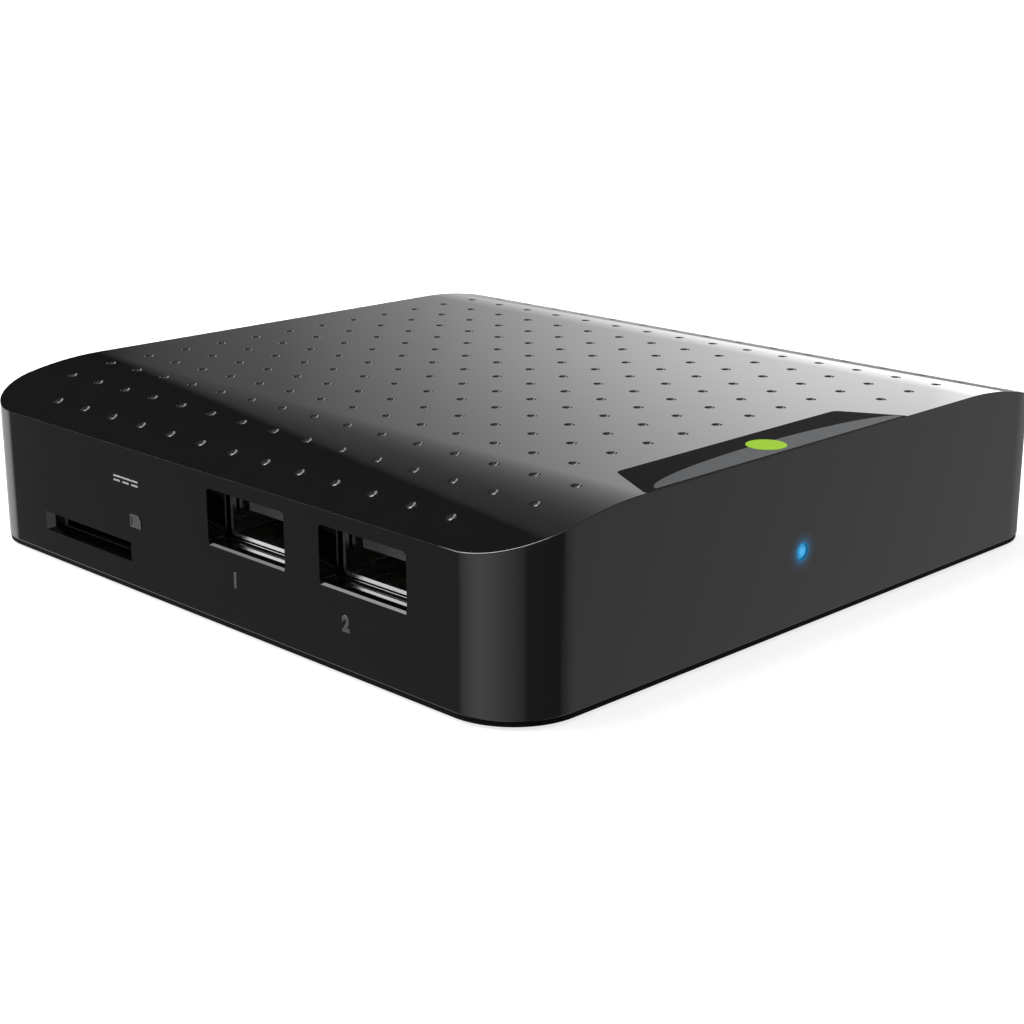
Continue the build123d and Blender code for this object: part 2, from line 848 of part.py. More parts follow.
def make_capacitors():
    cans = []
    for x, y in sites(capacitor_shares):
        can = rod((x, y, board_top), (0, 0, 1), capacitor_radius, capacitor_height)
        can = fillet(can.edges().sort_by(Axis.Z)[-1], capacitor_top_round)
        ring = rod((x, y, board_top + capacitor_groove_level), (0, 0, 1), capacitor_radius + overrun,
                   capacitor_groove_height)
        core = rod((x, y, board_top), (0, 0, 1), capacitor_radius - capacitor_groove_depth, capacitor_height)
        cans.append(can - (ring - core))
    return group(cans)


def make_inductors():
    pieces = []
    for x, y in sites(inductor_shares):
        body = chip(x, y, board_top, inductor_size, inductor_size, inductor_height)
        pieces.append(chamfer(body.edges().filter_by(Axis.Z), inductor_corner))
    return group(pieces)


def make_crystal():
    outline = SlotOverall(crystal_length, crystal_width)
    can = Pos(crystal_x, crystal_y, board_top) * extrude(outline, crystal_height)
    return fillet(can.edges().group_by(Axis.Z)[-1], crystal_height / 8)


# Front: light and receiver


def make_light_pipe():
    tip = front_face + light_setback
    inner_face = front_face + wall
    end = board_front - led_gap
    pipe = rod((light_x, tip, light_z), (0, 1, 0), light_radius, end - tip)
    pipe = fillet(pipe.edges().sort_by(Axis.Y)[0], light_dome)
    flange = rod((light_x, inner_face, light_z), (0, 1, 0), light_flange_radius, light_flange_thickness)
    return pipe + flange


def make_led():
    low = (light_x - led_width / 2, board_front, board_top)
    return block(low, (light_x + led_width / 2, board_front + led_depth, board_top + led_height))


def receiver_front():
    return board_front + receiver_lens_radius + receiver_from_board_edge


def make_receiver():
    front = receiver_front()
    low = board_top + receiver_standoff
    body = block((receiver_x - receiver_width / 2, front, low),
                 (receiver_x + receiver_width / 2, front + receiver_depth, low + receiver_height))
    lens = Pos(receiver_x, front, low + receiver_height / 2) * Sphere(receiver_lens_radius)
    return body + lens


def make_receiver_leads():
    y = receiver_front() + receiver_depth / 2
    leads = []
    for number in range(-1, 2):
        x = receiver_x + number * receiver_lead_pitch
        leads.append(chip(x, y, board_top, receiver_lead, receiver_lead, receiver_standoff))
    return group(leads)


# Left wall: USB sockets


def usb_tube(centre_y, grow, start, length):
    """A bar with the outline of the USB shell, grown all round."""
    plane = Plane(origin=(start, centre_y, usb_centre_z), x_dir=(0, 1, 0), z_dir=(1, 0, 0))
    corner = usb_shell_corner + grow
    return plane * rounded_tube(usb_shell_width + 2 * grow, usb_shell_height + 2 * grow, corner, length)


def make_usb_shell(centre_y):
    half = usb_shell_width / 2
    shell = usb_tube(centre_y, 0, usb_mouth, usb_shell_length)
    shell += usb_tube(centre_y, usb_lip_rise, usb_mouth, usb_lip_length)
    for side in (-1, 1):
        outer = centre_y + side * half
        inner = outer - side * usb_sheet
        for number in range(2):
            x = usb_mouth + usb_leg_from_mouth + number * usb_leg_spacing
            shell += block((x, min(outer, inner), board_top),
                           (x + usb_leg_length, max(outer, inner), usb_centre_z))
    shell -= usb_tube(centre_y, -usb_sheet, usb_mouth - overrun, usb_shell_length + 2 * overrun)
    window = usb_mouth + usb_window_from_mouth
    shell -= block((window, centre_y - usb_shell_width, usb_centre_z),
                   (window + usb_window_length, centre_y + usb_shell_width, usb_centre_z + usb_window_height))
    return shell


def usb_tongue_low():
    return usb_centre_z + usb_shell_height / 2 - usb_sheet - usb_tongue_top_gap - usb_tongue_thickness


def make_usb_tongue(centre_y):
    back = usb_mouth + usb_shell_length
    plug = usb_tube(centre_y, -usb_sheet - usb_fit_gap, back - usb_back_thickness, usb_back_thickness)
    low = usb_tongue_low()
    tongue = block((usb_mouth + usb_tongue_setback, centre_y - usb_tongue_width / 2, low),
                   (back - usb_back_thickness, centre_y + usb_tongue_width / 2, low + usb_tongue_thickness))
    return plug + tongue


def make_usb_pedestal(centre_y):
    """The plastic riser that lifts the socket off the board."""
    half = usb_shell_width / 2 - usb_sheet - usb_fit_gap
    return block((usb_mouth + usb_pedestal_from_mouth, centre_y - half, board_top),
                 (usb_mouth + usb_shell_length, centre_y + half, usb_centre_z - usb_shell_height / 2))


def make_usb_contacts(centre_y):
    start = usb_mouth + usb_tongue_setback + usb_contact_from_tip
    end = usb_mouth + usb_shell_length - usb_back_thickness
    top = usb_tongue_low()
    strips = []
    for number in range(usb_contact_count):
        y = centre_y + (number - (usb_contact_count - 1) / 2) * usb_contact_pitch
        strips.append(block((start, y - usb_contact_width / 2, top - usb_contact_thickness),
                            (end, y + usb_contact_width / 2, top)))
    return group(strips)


# Left wall: card socket under the board

card_right = card_centre_y - card_socket_width / 2 + card_sheet
card_left = card_centre_y + card_socket_width / 2 - card_sheet
card_track_low = card_right + card_thin_rail
card_track_high = card_track_low + card_track_width
card_slider_start = card_mouth + card_slider_from_mouth
card_slider_end = card_slider_start + card_slider_length
card_back_face = card_slider_end + card_travel + card_spring_pressed_length
card_end = card_back_face + card_back_wall


def make_card_frame():
    top = board_low
    plate = block((card_mouth, card_right, card_axis_high), (card_end, card_left, top))
    rail = block((card_mouth, card_left - card_rail, card_axis_low), (card_end, card_left, top))
    thin_rail = block((card_mouth, card_right, card_axis_low), (card_end, card_right + card_thin_rail, top))
    back = block((card_back_face, card_right, card_axis_low), (card_end, card_left, top))
    return joined([plate, rail, thin_rail, back])


def make_card_shell():
    half = card_socket_width / 2
    outer = block((card_mouth, card_centre_y - half, card_low), (card_end, card_centre_y + half, board_low))
    inner = block((card_mouth - overrun, card_right, card_axis_low), (card_end + overrun, card_left, board_top))
    return outer - inner


def make_card_slider():
    low = card_axis_low + card_running_gap
    high = card_axis_high - card_running_gap
    near = card_track_low + card_running_gap
    far = card_track_high - card_running_gap
    body = block((card_slider_start, near, low), (card_slider_end, far, high))
    arm = block((card_slider_end - card_arm_length, near, low), (card_slider_end, far + card_arm_reach, high))
    return body + arm


def make_card_spring():
    length = card_back_face - card_slider_end - 2 * card_spring_wire
    middle_y = (card_track_low + card_track_high) / 2
    middle_z = (card_axis_low + card_axis_high) / 2
    path = Helix(pitch=length / card_spring_turns, height=length, radius=card_spring_radius)
    section = Plane(origin=path @ 0, z_dir=path % 0) * Circle(card_spring_wire)
    coil = sweep(section, path=path)
    start = (card_slider_end + card_spring_wire, middle_y, middle_z)
    return Plane(origin=start, z_dir=(1, 0, 0)) * coil


def make_card_contacts():
    end = card_back_face - card_contact_from_back
    strips = []
    for number in range(card_contact_count):
        y = card_track_high + card_arm_reach / 2 + (number + 1) * card_contact_pitch
        strips.append(block((end - card_contact_length, y - card_contact_width / 2,
                             card_axis_high - card_contact_thickness),
                            (end, y + card_contact_width / 2, card_axis_high)))
    return group(strips)


# Rear sockets


def make_supply_body():
    body = block((supply_x - supply_width / 2, socket_face - supply_depth, board_top),
                 (supply_x + supply_width / 2, socket_face, board_top + supply_height))
    z = board_top + supply_axis_rise
    body -= rod((supply_x, socket_face - supply_bore_depth, z), (0, 1, 0), supply_bore_radius,
                supply_bore_depth + overrun)
    return body


def make_supply_pin():
    z = board_top + supply_axis_rise
    length = supply_bore_depth - supply_pin_setback
    pin = rod((supply_x, socket_face - supply_bore_depth, z), (0, 1, 0), supply_pin_radius, length)
    return fillet(pin.edges().sort_by(Axis.Y)[-1], supply_pin_radius / 2)


def make_supply_spring():
    z = board_top + supply_axis_rise - supply_bore_radius + supply_spring_thickness
    start = socket_face - supply_bore_depth
    strip = block((supply_x - supply_spring_width / 2, start, z),
                  (supply_x + supply_spring_width / 2, start + supply_spring_length,
                   z + supply_spring_thickness))
    return strip


def make_av_body():
    nose_end = socket_face
    shoulder = nose_end - av_nose_length
    z = board_top + av_axis_rise
    body = block((av_x - av_width / 2, shoulder - av_depth, board_top),
                 (av_x + av_width / 2, shoulder, board_top + av_height))
    body += rod((av_x, shoulder, z), (0, 1, 0), av_nose_radius, av_nose_length)
    body -= rod((av_x, nose_end - av_bore_depth, z), (0, 1, 0), av_bore_radius, av_bore_depth + overrun)
    return body


def make_av_contacts():
    top = board_top + av_height
    shoulder = socket_face - av_nose_length
    strips = []
    for number in range(av_contact_count):
        y = shoulder - (number + 1) * av_contact_pitch
        strips.append(block((av_x - av_contact_length / 2, y - av_contact_width / 2, top),
                            (av_x + av_contact_length / 2, y + av_contact_width / 2,
                             top + av_contact_thickness)))
    return group(strips)


reset_body_face = wall_inner_rear - reset_body_from_wall
reset_z = board_top + reset_axis_rise
reset_tip = rear_face - reset_tip_setback
reset_chamber_depth = reset_collar_length + reset_button_gap + reset_travel + reset_end_gap


def make_reset_body():
    back = reset_body_face - reset_body_depth
    body = block((reset_x - reset_width / 2, back, board_top),
                 (reset_x + reset_width / 2, reset_body_face, board_top + reset_body_height))
    chamber = rod((reset_x, reset_body_face - reset_chamber_depth - reset_collar_length, reset_z), (0, 1, 0),
                  reset_chamber_radius, reset_chamber_depth)
    neck = rod((reset_x, reset_body_face - reset_chamber_depth, reset_z), (0, 1, 0),
               reset_button_radius + reset_button_gap, reset_chamber_depth + overrun)
    return body - chamber - neck


def make_reset_button():
    collar_front = reset_body_face - reset_collar_length - reset_button_gap
    collar = rod((reset_x, collar_front - reset_collar_length, reset_z), (0, 1, 0), reset_collar_radius,
                 reset_collar_length)
    stem = rod((reset_x, collar_front - reset_collar_length, reset_z), (0, 1, 0), reset_button_radius,
               reset_tip - collar_front + reset_collar_length)
    stem = fillet(stem.edges().sort_by(Axis.Y)[-1], reset_button_radius / 3)
    return collar + stem


optical_back = socket_face - optical_depth
optical_inner_face = socket_face - optical_face
optical_cavity_low = board_top + optical_cavity_rise
optical_cavity_top = optical_cavity_low + optical_cavity_height
shutter_axis_y = optical_inner_face - shutter_face_gap - shutter_thickness / 2
shutter_axis_z = optical_cavity_top - shutter_axis_drop
shutter_half_width = optical_cavity_width / 2 - shutter_side_gap
shutter_pin_end = optical_cavity_width / 2 + shutter_pin_reach


def make_optical_body():
    body = block((optical_x - optical_width / 2, optical_back, board_top),
                 (optical_x + optical_width / 2, socket_face, board_top + optical_height))
    cavity = block((optical_x - optical_cavity_width / 2, optical_inner_face - optical_cavity_depth,
                    optical_cavity_low),
                   (optical_x + optical_cavity_width / 2, optical_inner_face, optical_cavity_top))
    window_low = board_top + optical_window_rise
    window = block((optical_x - optical_window_width / 2, optical_inner_face - overrun, window_low),
                   (optical_x + optical_window_width / 2, socket_face + overrun,
                    window_low + optical_window_height))
    reach = shutter_pin_end + shutter_pin_end_gap
    pivot = rod((optical_x - reach, shutter_axis_y, shutter_axis_z), (1, 0, 0),
                shutter_pin_radius + shutter_pin_gap, 2 * reach)
    return body - cavity - window - pivot


def make_optical_shutter():
    low = optical_cavity_low + shutter_foot_gap
    half = shutter_thickness / 2
    plate = block((optical_x - shutter_half_width, shutter_axis_y - half, low),
                  (optical_x + shutter_half_width, shutter_axis_y + half, shutter_axis_z))
    barrel = rod((optical_x - shutter_half_width, shutter_axis_y, shutter_axis_z), (1, 0, 0), half,
                 2 * shutter_half_width)
    pins = rod((optical_x - shutter_pin_end, shutter_axis_y, shutter_axis_z), (1, 0, 0), shutter_pin_radius,
               2 * shutter_pin_end)
    return joined([plate, barrel, pins])


def make_optical_lens():
    start = optical_inner_face - optical_cavity_depth
    z = board_top + optical_window_rise + optical_window_height / 2
    lens = rod((optical_x, start, z), (0, 1, 0), lens_radius, lens_length)
    return fillet(lens.edges().sort_by(Axis.Y)[-1], lens_radius / 2)


def hdmi_outline(grow):
    """Half a rectangle over half a tapering foot, centred on the socket, seen from the back."""
    half_width = hdmi_width / 2 + grow
    half_height = hdmi_height / 2 + grow
    return [
        (-half_width, half_height),
        (half_width, half_height),
        (half_width, -half_height + hdmi_corner),
        (half_width - hdmi_corner, -half_height),
        (-half_width + hdmi_corner, -half_height),
        (-half_width, -half_height + hdmi_corner),
    ]


hdmi_centre_z = board_top + hdmi_height / 2


def hdmi_bar(grow, start, length):
    plane = Plane(origin=(hdmi_x, start, hdmi_centre_z), x_dir=(-1, 0, 0), z_dir=(0, 1, 0))
    return plane * extrude(make_face(Polyline(*hdmi_outline(grow), close=True)), length)


def make_hdmi_shell():
    start = socket_face - hdmi_depth
    return hdmi_bar(0, start, hdmi_depth) - hdmi_bar(-hdmi_sheet, start - overrun, hdmi_depth + 2 * overrun)


def make_hdmi_tongue():
    start = socket_face - hdmi_depth
    back = hdmi_bar(-hdmi_sheet, start, hdmi_back)
    tongue = block((hdmi_x - hdmi_tongue_width / 2, start, hdmi_centre_z - hdmi_tongue_thickness / 2),
                   (hdmi_x + hdmi_tongue_width / 2, socket_face - hdmi_tongue_setback,
                    hdmi_centre_z + hdmi_tongue_thickness / 2))
    return back + tongue


def make_hdmi_contacts():
    start = socket_face - hdmi_depth + hdmi_back
    end = socket_face - hdmi_tongue_setback - hdmi_contact_from_tip
    strips = []
    for side in (-1, 1):
        face = hdmi_centre_z + side * hdmi_tongue_thickness / 2
        low = min(face, face + side * hdmi_contact_thickness)
        for number in range(hdmi_contact_count):
            x = hdmi_x + (number - (hdmi_contact_count - 1) / 2) * hdmi_contact_pitch
            strips.append(block((x - hdmi_contact_width / 2, start, low),
                                (x + hdmi_contact_width / 2, end, low + hdmi_contact_thickness)))
    return group(strips)


lan_back = socket_face - lan_depth
lan_cavity_low = board_top + lan_cavity_rise
lan_cavity_top = board_top + lan_height - lan_cavity_roof


def make_lan_shield():
    outer = block((lan_x - lan_width / 2, lan_back, board_top),
                  (lan_x + lan_width / 2, socket_face, board_top + lan_height))
    inner = block((lan_x - lan_width / 2 + lan_sheet, lan_back - overrun, board_top - overrun),
                  (lan_x + lan_width / 2 - lan_sheet, socket_face - lan_sheet,
                   board_top + lan_height - lan_sheet))
    face = block((lan_x - lan_cavity_width / 2, lan_back, lan_cavity_low),
                 (lan_x + lan_cavity_width / 2, socket_face + overrun, lan_cavity_top))
    latch = block((lan_x - lan_latch_width / 2, lan_back, lan_cavity_low - lan_latch_height),
                  (lan_x + lan_latch_width / 2, socket_face + overrun, lan_cavity_low + overrun))
    return outer - inner - face - latch


def make_lan_housing():
    side = lan_sheet + usb_fit_gap
    body = block((lan_x - lan_width / 2 + side, lan_back, board_top),
                 (lan_x + lan_width / 2 - side, socket_face - side, board_top + lan_height - side))
    cavity = block((lan_x - lan_cavity_width / 2, socket_face - lan_cavity_depth, lan_cavity_low),
                   (lan_x + lan_cavity_width / 2, socket_face + overrun, lan_cavity_top))
    latch = block((lan_x - lan_latch_width / 2, socket_face - lan_cavity_depth,
                   lan_cavity_low - lan_latch_height),
                  (lan_x + lan_latch_width / 2, socket_face + overrun, lan_cavity_low + overrun))
    return body - cavity - latch


def make_lan_contacts():
    end = socket_face - lan_contact_from_mouth
    strips = []
    for number in range(lan_contact_count):
        x = lan_x + (number - (lan_contact_count - 1) / 2) * lan_contact_pitch
        strips.append(block((x - lan_contact_width / 2, end - lan_contact_length,
                             lan_cavity_top - lan_contact_thickness),
                            (x + lan_contact_width / 2, end, lan_cavity_top)))
    return group(strips)


aerial_z = board_top + aerial_axis_rise
aerial_block_face = socket_face - aerial_barrel_length


def make_aerial_barrel():
    body = block((aerial_x - aerial_block_width / 2, aerial_block_face - aerial_block_depth, board_top),
                 (aerial_x + aerial_block_width / 2, aerial_block_face, board_top + aerial_block_height))
    body += rod((aerial_x, aerial_block_face, aerial_z), (0, 1, 0), aerial_barrel_radius, aerial_barrel_length)
    body -= rod((aerial_x, aerial_block_face, aerial_z), (0, 1, 0), aerial_bore_radius,
                aerial_barrel_length + overrun)
    return body


def make_aerial_insulator():
    disc = rod((aerial_x, aerial_block_face, aerial_z), (0, 1, 0), aerial_bore_radius - usb_fit_gap,
               aerial_insulator_length / 2)
    neck = rod((aerial_x, aerial_block_face, aerial_z), (0, 1, 0), aerial_bore_radius / 2 + usb_fit_gap,
               aerial_insulator_length)
    hole = rod((aerial_x, aerial_block_face - overrun, aerial_z), (0, 1, 0), aerial_contact_radius,
               aerial_insulator_length + 2 * overrun)
    return disc + neck - hole


def make_aerial_contact():
    tube = rod((aerial_x, aerial_block_face, aerial_z), (0, 1, 0), aerial_contact_radius - usb_fit_gap,
               aerial_contact_length)
    tube -= rod((aerial_x, aerial_block_face + aerial_contact_length - aerial_contact_bore_depth, aerial_z),
                (0, 1, 0), aerial_contact_bore, aerial_contact_bore_depth + overrun)
    return tube


def all_nodes():
    nodes = {
        "top_cover": make_cover(),
        "base_plate": make_base(),
        "top_inlay": make_inlay(),
        "case_screws": make_case_screws(),
        "board_screws": make_board_screws(),
        "main_board": make_board(),
        "processor_chip": make_processor(),
        "thermal_pad": make_pad(),
        "heat_sink": make_sink(),
        "heat_sink_pins": make_sink_pins(),
        "memory_chips": make_memory(),
        "flash_chip": chip(flash_x, flash_y, board_top, flash_width, flash_depth, flash_thickness),
        "tuner_can": make_tuner(),
        "radio_module": make_radio(),
        "radio_shield": make_radio_shield(),
        "radio_antenna": make_antenna(),
        "capacitors": make_capacitors(),
        "power_inductors": make_inductors(),
        "crystal": make_crystal(),
        "light_pipe": make_light_pipe(),
        "status_led": make_led(),
        "infrared_receiver": make_receiver(),
        "receiver_leads": make_receiver_leads(),
        "card_socket_frame": make_card_frame(),
        "card_socket_shell": make_card_shell(),
        "card_slider": make_card_slider(),
        "card_spring": make_card_spring(),
        "card_contacts": make_card_contacts(),
        "supply_jack_body": make_supply_body(),
        "supply_jack_pin": make_supply_pin(),
        "supply_jack_spring": make_supply_spring(),
        "av_jack_body": make_av_body(),
        "av_jack_contacts": make_av_contacts(),
        "reset_switch_body": make_reset_body(),
        "reset_button": make_reset_button(),
        "optical_body": make_optical_body(),
        "optical_shutter": make_optical_shutter(),
        "optical_lens": make_optical_lens(),
        "hdmi_shell": make_hdmi_shell(),
        "hdmi_tongue": make_hdmi_tongue(),
        "hdmi_contacts": make_hdmi_contacts(),
        "network_shield": make_lan_shield(),
        "network_housing": make_lan_housing(),
        "network_contacts": make_lan_contacts(),
        "aerial_barrel": make_aerial_barrel(),
        "aerial_insulator": make_aerial_insulator(),
        "aerial_contact": make_aerial_contact(),
    }
    for number, foot in enumerate(make_feet(), start=1):
        nodes[f"rubber_foot_{number}"] = foot
    for number, centre_y in enumerate(usb_places(), start=1):
        nodes[f"usb_{number}_shell"] = make_usb_shell(centre_y)
        nodes[f"usb_{number}_tongue"] = make_usb_tongue(centre_y)
        nodes[f"usb_{number}_riser"] = make_usb_pedestal(centre_y)
        nodes[f"usb_{number}_contacts"] = make_usb_contacts(centre_y)
    return nodes


os.makedirs("parts", exist_ok=True)
for node_name, node_shape in all_nodes().items():
    export_step(node_shape, f"parts/{node_name}.step")
    print(node_name, round(node_shape.volume, 2))
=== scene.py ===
# %% [markdown]
# # Dressing a small glossy set-top box
# The real object is a square black media box, 105 mm wide, that stands on four rubber feet.
# Its roof is crowned at the sides and carries a grid of small round dimples. The exact model
# of every inner piece comes from CAD. This lesson gives the cover its fine shape again, so that
# gloss runs over it without facets, and gives every piece a procedural finish.
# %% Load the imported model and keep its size
import json
import math

import bpy
from mathutils import Matrix, Vector


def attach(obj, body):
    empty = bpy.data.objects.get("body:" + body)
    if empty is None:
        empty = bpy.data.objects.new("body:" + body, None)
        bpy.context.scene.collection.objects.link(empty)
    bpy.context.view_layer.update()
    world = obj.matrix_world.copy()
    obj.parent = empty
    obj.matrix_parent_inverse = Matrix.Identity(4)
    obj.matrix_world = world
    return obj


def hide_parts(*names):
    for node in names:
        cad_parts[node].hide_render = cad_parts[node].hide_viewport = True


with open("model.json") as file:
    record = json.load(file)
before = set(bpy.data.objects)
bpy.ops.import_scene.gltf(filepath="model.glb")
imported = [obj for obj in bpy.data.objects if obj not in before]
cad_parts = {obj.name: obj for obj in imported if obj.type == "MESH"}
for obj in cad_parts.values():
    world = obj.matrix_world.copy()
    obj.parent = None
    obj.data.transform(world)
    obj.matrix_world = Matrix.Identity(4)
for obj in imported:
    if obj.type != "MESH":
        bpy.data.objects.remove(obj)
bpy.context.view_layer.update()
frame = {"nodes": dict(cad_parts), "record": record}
nodes = frame["nodes"]
print("pieces from CAD:", len(nodes))

# %% [markdown]
# ## Small helpers
# Blender's operators act on whatever is selected, so each one here starts from nothing selected
# and picks its faces or edges by place. Small parts are modelled in millimetres, because bevels,
# fills and merges have thresholds meant for larger things, and are brought to metres at the end.
# %% Select by place, and finish a piece


def deselect():
    if bpy.context.object and bpy.context.object.mode != "OBJECT":
        bpy.ops.object.mode_set(mode="OBJECT")
    bpy.ops.object.select_all(action="DESELECT")


def work_on(piece):
    deselect()
    piece.hide_set(False)
    piece.select_set(True)
    bpy.context.view_layer.objects.active = piece


def new_piece(name):
    """The primitive that was just added, named and with its size and turn in its mesh."""
    piece = bpy.context.object
    piece.name = piece.data.name = name
    bpy.ops.object.transform_apply(location=True, rotation=True, scale=True)
    return piece


def pick(piece, kind, test):
    """Leaves the piece in edit mode with the vertices, edges or faces that pass a test selected."""
    work_on(piece)
    bpy.ops.object.mode_set(mode="EDIT")
    bpy.ops.mesh.select_mode(type=kind)
    bpy.ops.mesh.select_all(action="DESELECT")
    bpy.ops.object.mode_set(mode="OBJECT")
    mesh = piece.data
    if kind == "VERT":
        for point in mesh.vertices:
            point.select = test(point.co)
    elif kind == "EDGE":
        for edge in mesh.edges:
            edge.select = test(mesh.vertices[edge.vertices[0]].co, mesh.vertices[edge.vertices[1]].co)
    else:
        for face in mesh.polygons:
            face.select = test(face.center, face.normal)
    bpy.ops.object.mode_set(mode="EDIT")


def leave():
    bpy.ops.object.mode_set(mode="OBJECT")


def shift(piece, test, move):
    """Moves the points of a piece that pass a test."""
    pick(piece, "VERT", test)
    bpy.ops.transform.translate(value=move)
    leave()


def face_outwards(piece):
    pick(piece, "FACE", lambda centre, normal: True)
    bpy.ops.mesh.normals_make_consistent(inside=False)
    leave()


def modify(piece, kind, **settings):
    """Adds a modifier and applies it."""
    work_on(piece)
    modifier = piece.modifiers.new(kind.lower(), kind)
    for name, value in settings.items():
        setattr(modifier, name, value)
    bpy.ops.object.modifier_apply(modifier=modifier.name)


def carve(piece, tool):
    """Cuts a tool away from a piece and removes the tool."""
    modify(piece, "BOOLEAN", object=tool, operation="DIFFERENCE", solver="EXACT")
    bpy.data.objects.remove(tool)


def join(pieces, name):
    deselect()
    for piece in pieces:
        piece.select_set(True)
    bpy.context.view_layer.objects.active = pieces[0]
    bpy.ops.object.join()
    joined = bpy.context.object
    joined.name = joined.data.name = name
    return joined


def box_piece(low, high, name):
    """A box between two corners, in millimetres."""
    middle = [(a + b) / 2 for a, b in zip(low, high)]
    size = [b - a for a, b in zip(low, high)]
    deselect()
    bpy.ops.mesh.primitive_cube_add(size=1, location=middle)
    bpy.context.object.scale = size
    return new_piece(name)


def rod_piece(start, end, radius, name, sides=48):
    """A round bar between two points, in millimetres."""
    start, end = Vector(start), Vector(end)
    along = end - start
    deselect()
    bpy.ops.mesh.primitive_cylinder_add(vertices=sides, radius=radius, depth=along.length,
                                        location=(start + end) / 2,
                                        rotation=along.to_track_quat("Z", "Y").to_euler())
    return new_piece(name)


def to_metres(piece):
    work_on(piece)
    piece.scale = (0.001, 0.001, 0.001)
    bpy.ops.object.transform_apply(location=True, rotation=True, scale=True)


def smooth(piece, degrees):
    work_on(piece)
    bpy.ops.object.shade_smooth_by_angle(angle=math.radians(degrees))
    modify(piece, "WEIGHTED_NORMAL", weight=60, keep_sharp=True)


# %% [markdown]
# ## The cover's sizes
# These are the real sizes in millimetres. The roof is flat across the middle, and each side falls
# away along an arc, so its height depends only on how far a point is from the middle.
# %% Sizes of the cover

WIDTH = 105.0
HALF = WIDTH / 2
CORNER = 9.1
WALL = 2.0
TOP = 23.1
HEM_LEVEL = 0.95
FLAT_HALF = 32.2
CROWN_RADIUS = 54.6


def crown_drop(x):
    """How far the roof has fallen at this distance from the middle."""
    beyond = max(abs(x) - FLAT_HALF, 0)
    return CROWN_RADIUS - math.sqrt(CROWN_RADIUS**2 - beyond**2)


# %% [markdown]
# ## A rounded square block
# The cover is moulded as one shell. As by hand, it starts as a flat square whose corners are
# rounded, which is then pulled up. A small round at the hem catches the light as a bright line.
# %% Outer block

HEM = 0.25


def rounded_block(size, corner, low, high, name, hem=0.0):
    """An upright block with rounded corners, and if asked a round at its lower edge."""
    deselect()
    bpy.ops.mesh.primitive_plane_add(size=size, location=(0, 0, low))
    block = new_piece(name)
    pick(block, "VERT", lambda co: True)
    bpy.ops.mesh.bevel(offset=corner, segments=20, affect="VERTICES")
    bpy.ops.mesh.select_all(action="SELECT")
    bpy.ops.mesh.extrude_region_move(TRANSFORM_OT_translate={"value": (0, 0, high - low)})
    leave()
    face_outwards(block)
    if hem:
        pick(block, "EDGE", lambda a, b: abs(a.z - low) < 0.001 and abs(b.z - low) < 0.001)
        bpy.ops.mesh.bevel(offset=hem, segments=3, affect="EDGES", clamp_overlap=False)
        leave()
    return block


cover = rounded_block(WIDTH, CORNER, HEM_LEVEL, TOP, "gloss_cover", HEM)
print("faces of the block:", len(cover.data.polygons))

# %% [markdown]
# ## The rim of the roof
# The rim is almost sharp, but softer along the front wall and round its two corners. A bevel
# modifier takes its width from each edge's weight: first all of the rim gets the weight of the
# sharp round, and then the edges in front get the rest.
# %% Weigh and round the rim

SHARP_RIM = 0.01
FRONT_RIM = 0.12
ALL_ROUND = HALF + 1
FRONT_ONLY = CORNER - HALF + 0.01

sharp_share = SHARP_RIM / FRONT_RIM
for back_end, share in ((ALL_ROUND, sharp_share), (FRONT_ONLY, 1 - sharp_share)):
    pick(cover, "EDGE", lambda a, b: min(a.z, b.z) > TOP - 0.001 and max(a.y, b.y) < back_end)
    bpy.ops.transform.edge_bevelweight(value=share)
    leave()
modify(cover, "BEVEL", limit_method="WEIGHT", width=FRONT_RIM, segments=3, use_clamp_overlap=False)
print("faces with the rim:", len(cover.data.polygons))

# %% [markdown]
# ## Painted shade under the hem
# Under the bright line of the hem the case shows a dull black band, the shade at its foot. Here it is
# painted: a separate thin ring, set in a little from the wall, has a near-black finish that mirrors
# nothing.
# %% Ring under the hem

SKIRT_LOW = 0.42
SKIRT_OUTER_INSET = 0.1
SKIRT_INNER_INSET = 0.37

skirt = rounded_block(WIDTH - 2 * SKIRT_OUTER_INSET, CORNER - SKIRT_OUTER_INSET, SKIRT_LOW, HEM_LEVEL,
                      "painted_shade_skirt")
carve(skirt, rounded_block(WIDTH - 2 * SKIRT_INNER_INSET, CORNER - SKIRT_INNER_INSET, 0, TOP, "skirt_room"))
print("faces of the skirt:", len(skirt.data.polygons))

# %% [markdown]
# ## What stays inside the hollow
# The wall is thicker round the side sockets, and four screw towers stand in the corners. They are
# taken out of the hollow before it is cut, so that they stay solid in the cover.
# %% Port frames and towers

HOLLOW_LOW = -0.2
PORT_FACE = -HALF + 2.85
FRAME_WALL = 1.3
FRAME_FOOT = 0.4
USB_Y = (-7.9, -28.85)
USB_Z = 13.93
USB_WIDTH = 14.9
USB_HEIGHT = 6.85
USB_LOW = USB_Z - USB_HEIGHT / 2
USB_HIGH = USB_Z + USB_HEIGHT / 2
CARD_LOW = 3.87
CARD_HIGH = 6.8
CARD_NEAR = 16.15
CARD_FAR = 35.25
TOWER = 44.2
TOWER_LOW = 4.2
TOWER_RADIUS = 3.25


def corner_rods(low, high, radius, name):
    """Four upright bars, one in each corner of the case, in millimetres."""
    return [rod_piece((side * TOWER, end * TOWER, low), (side * TOWER, end * TOWER, high), radius, name)
            for side in (-1, 1) for end in (-1, 1)]


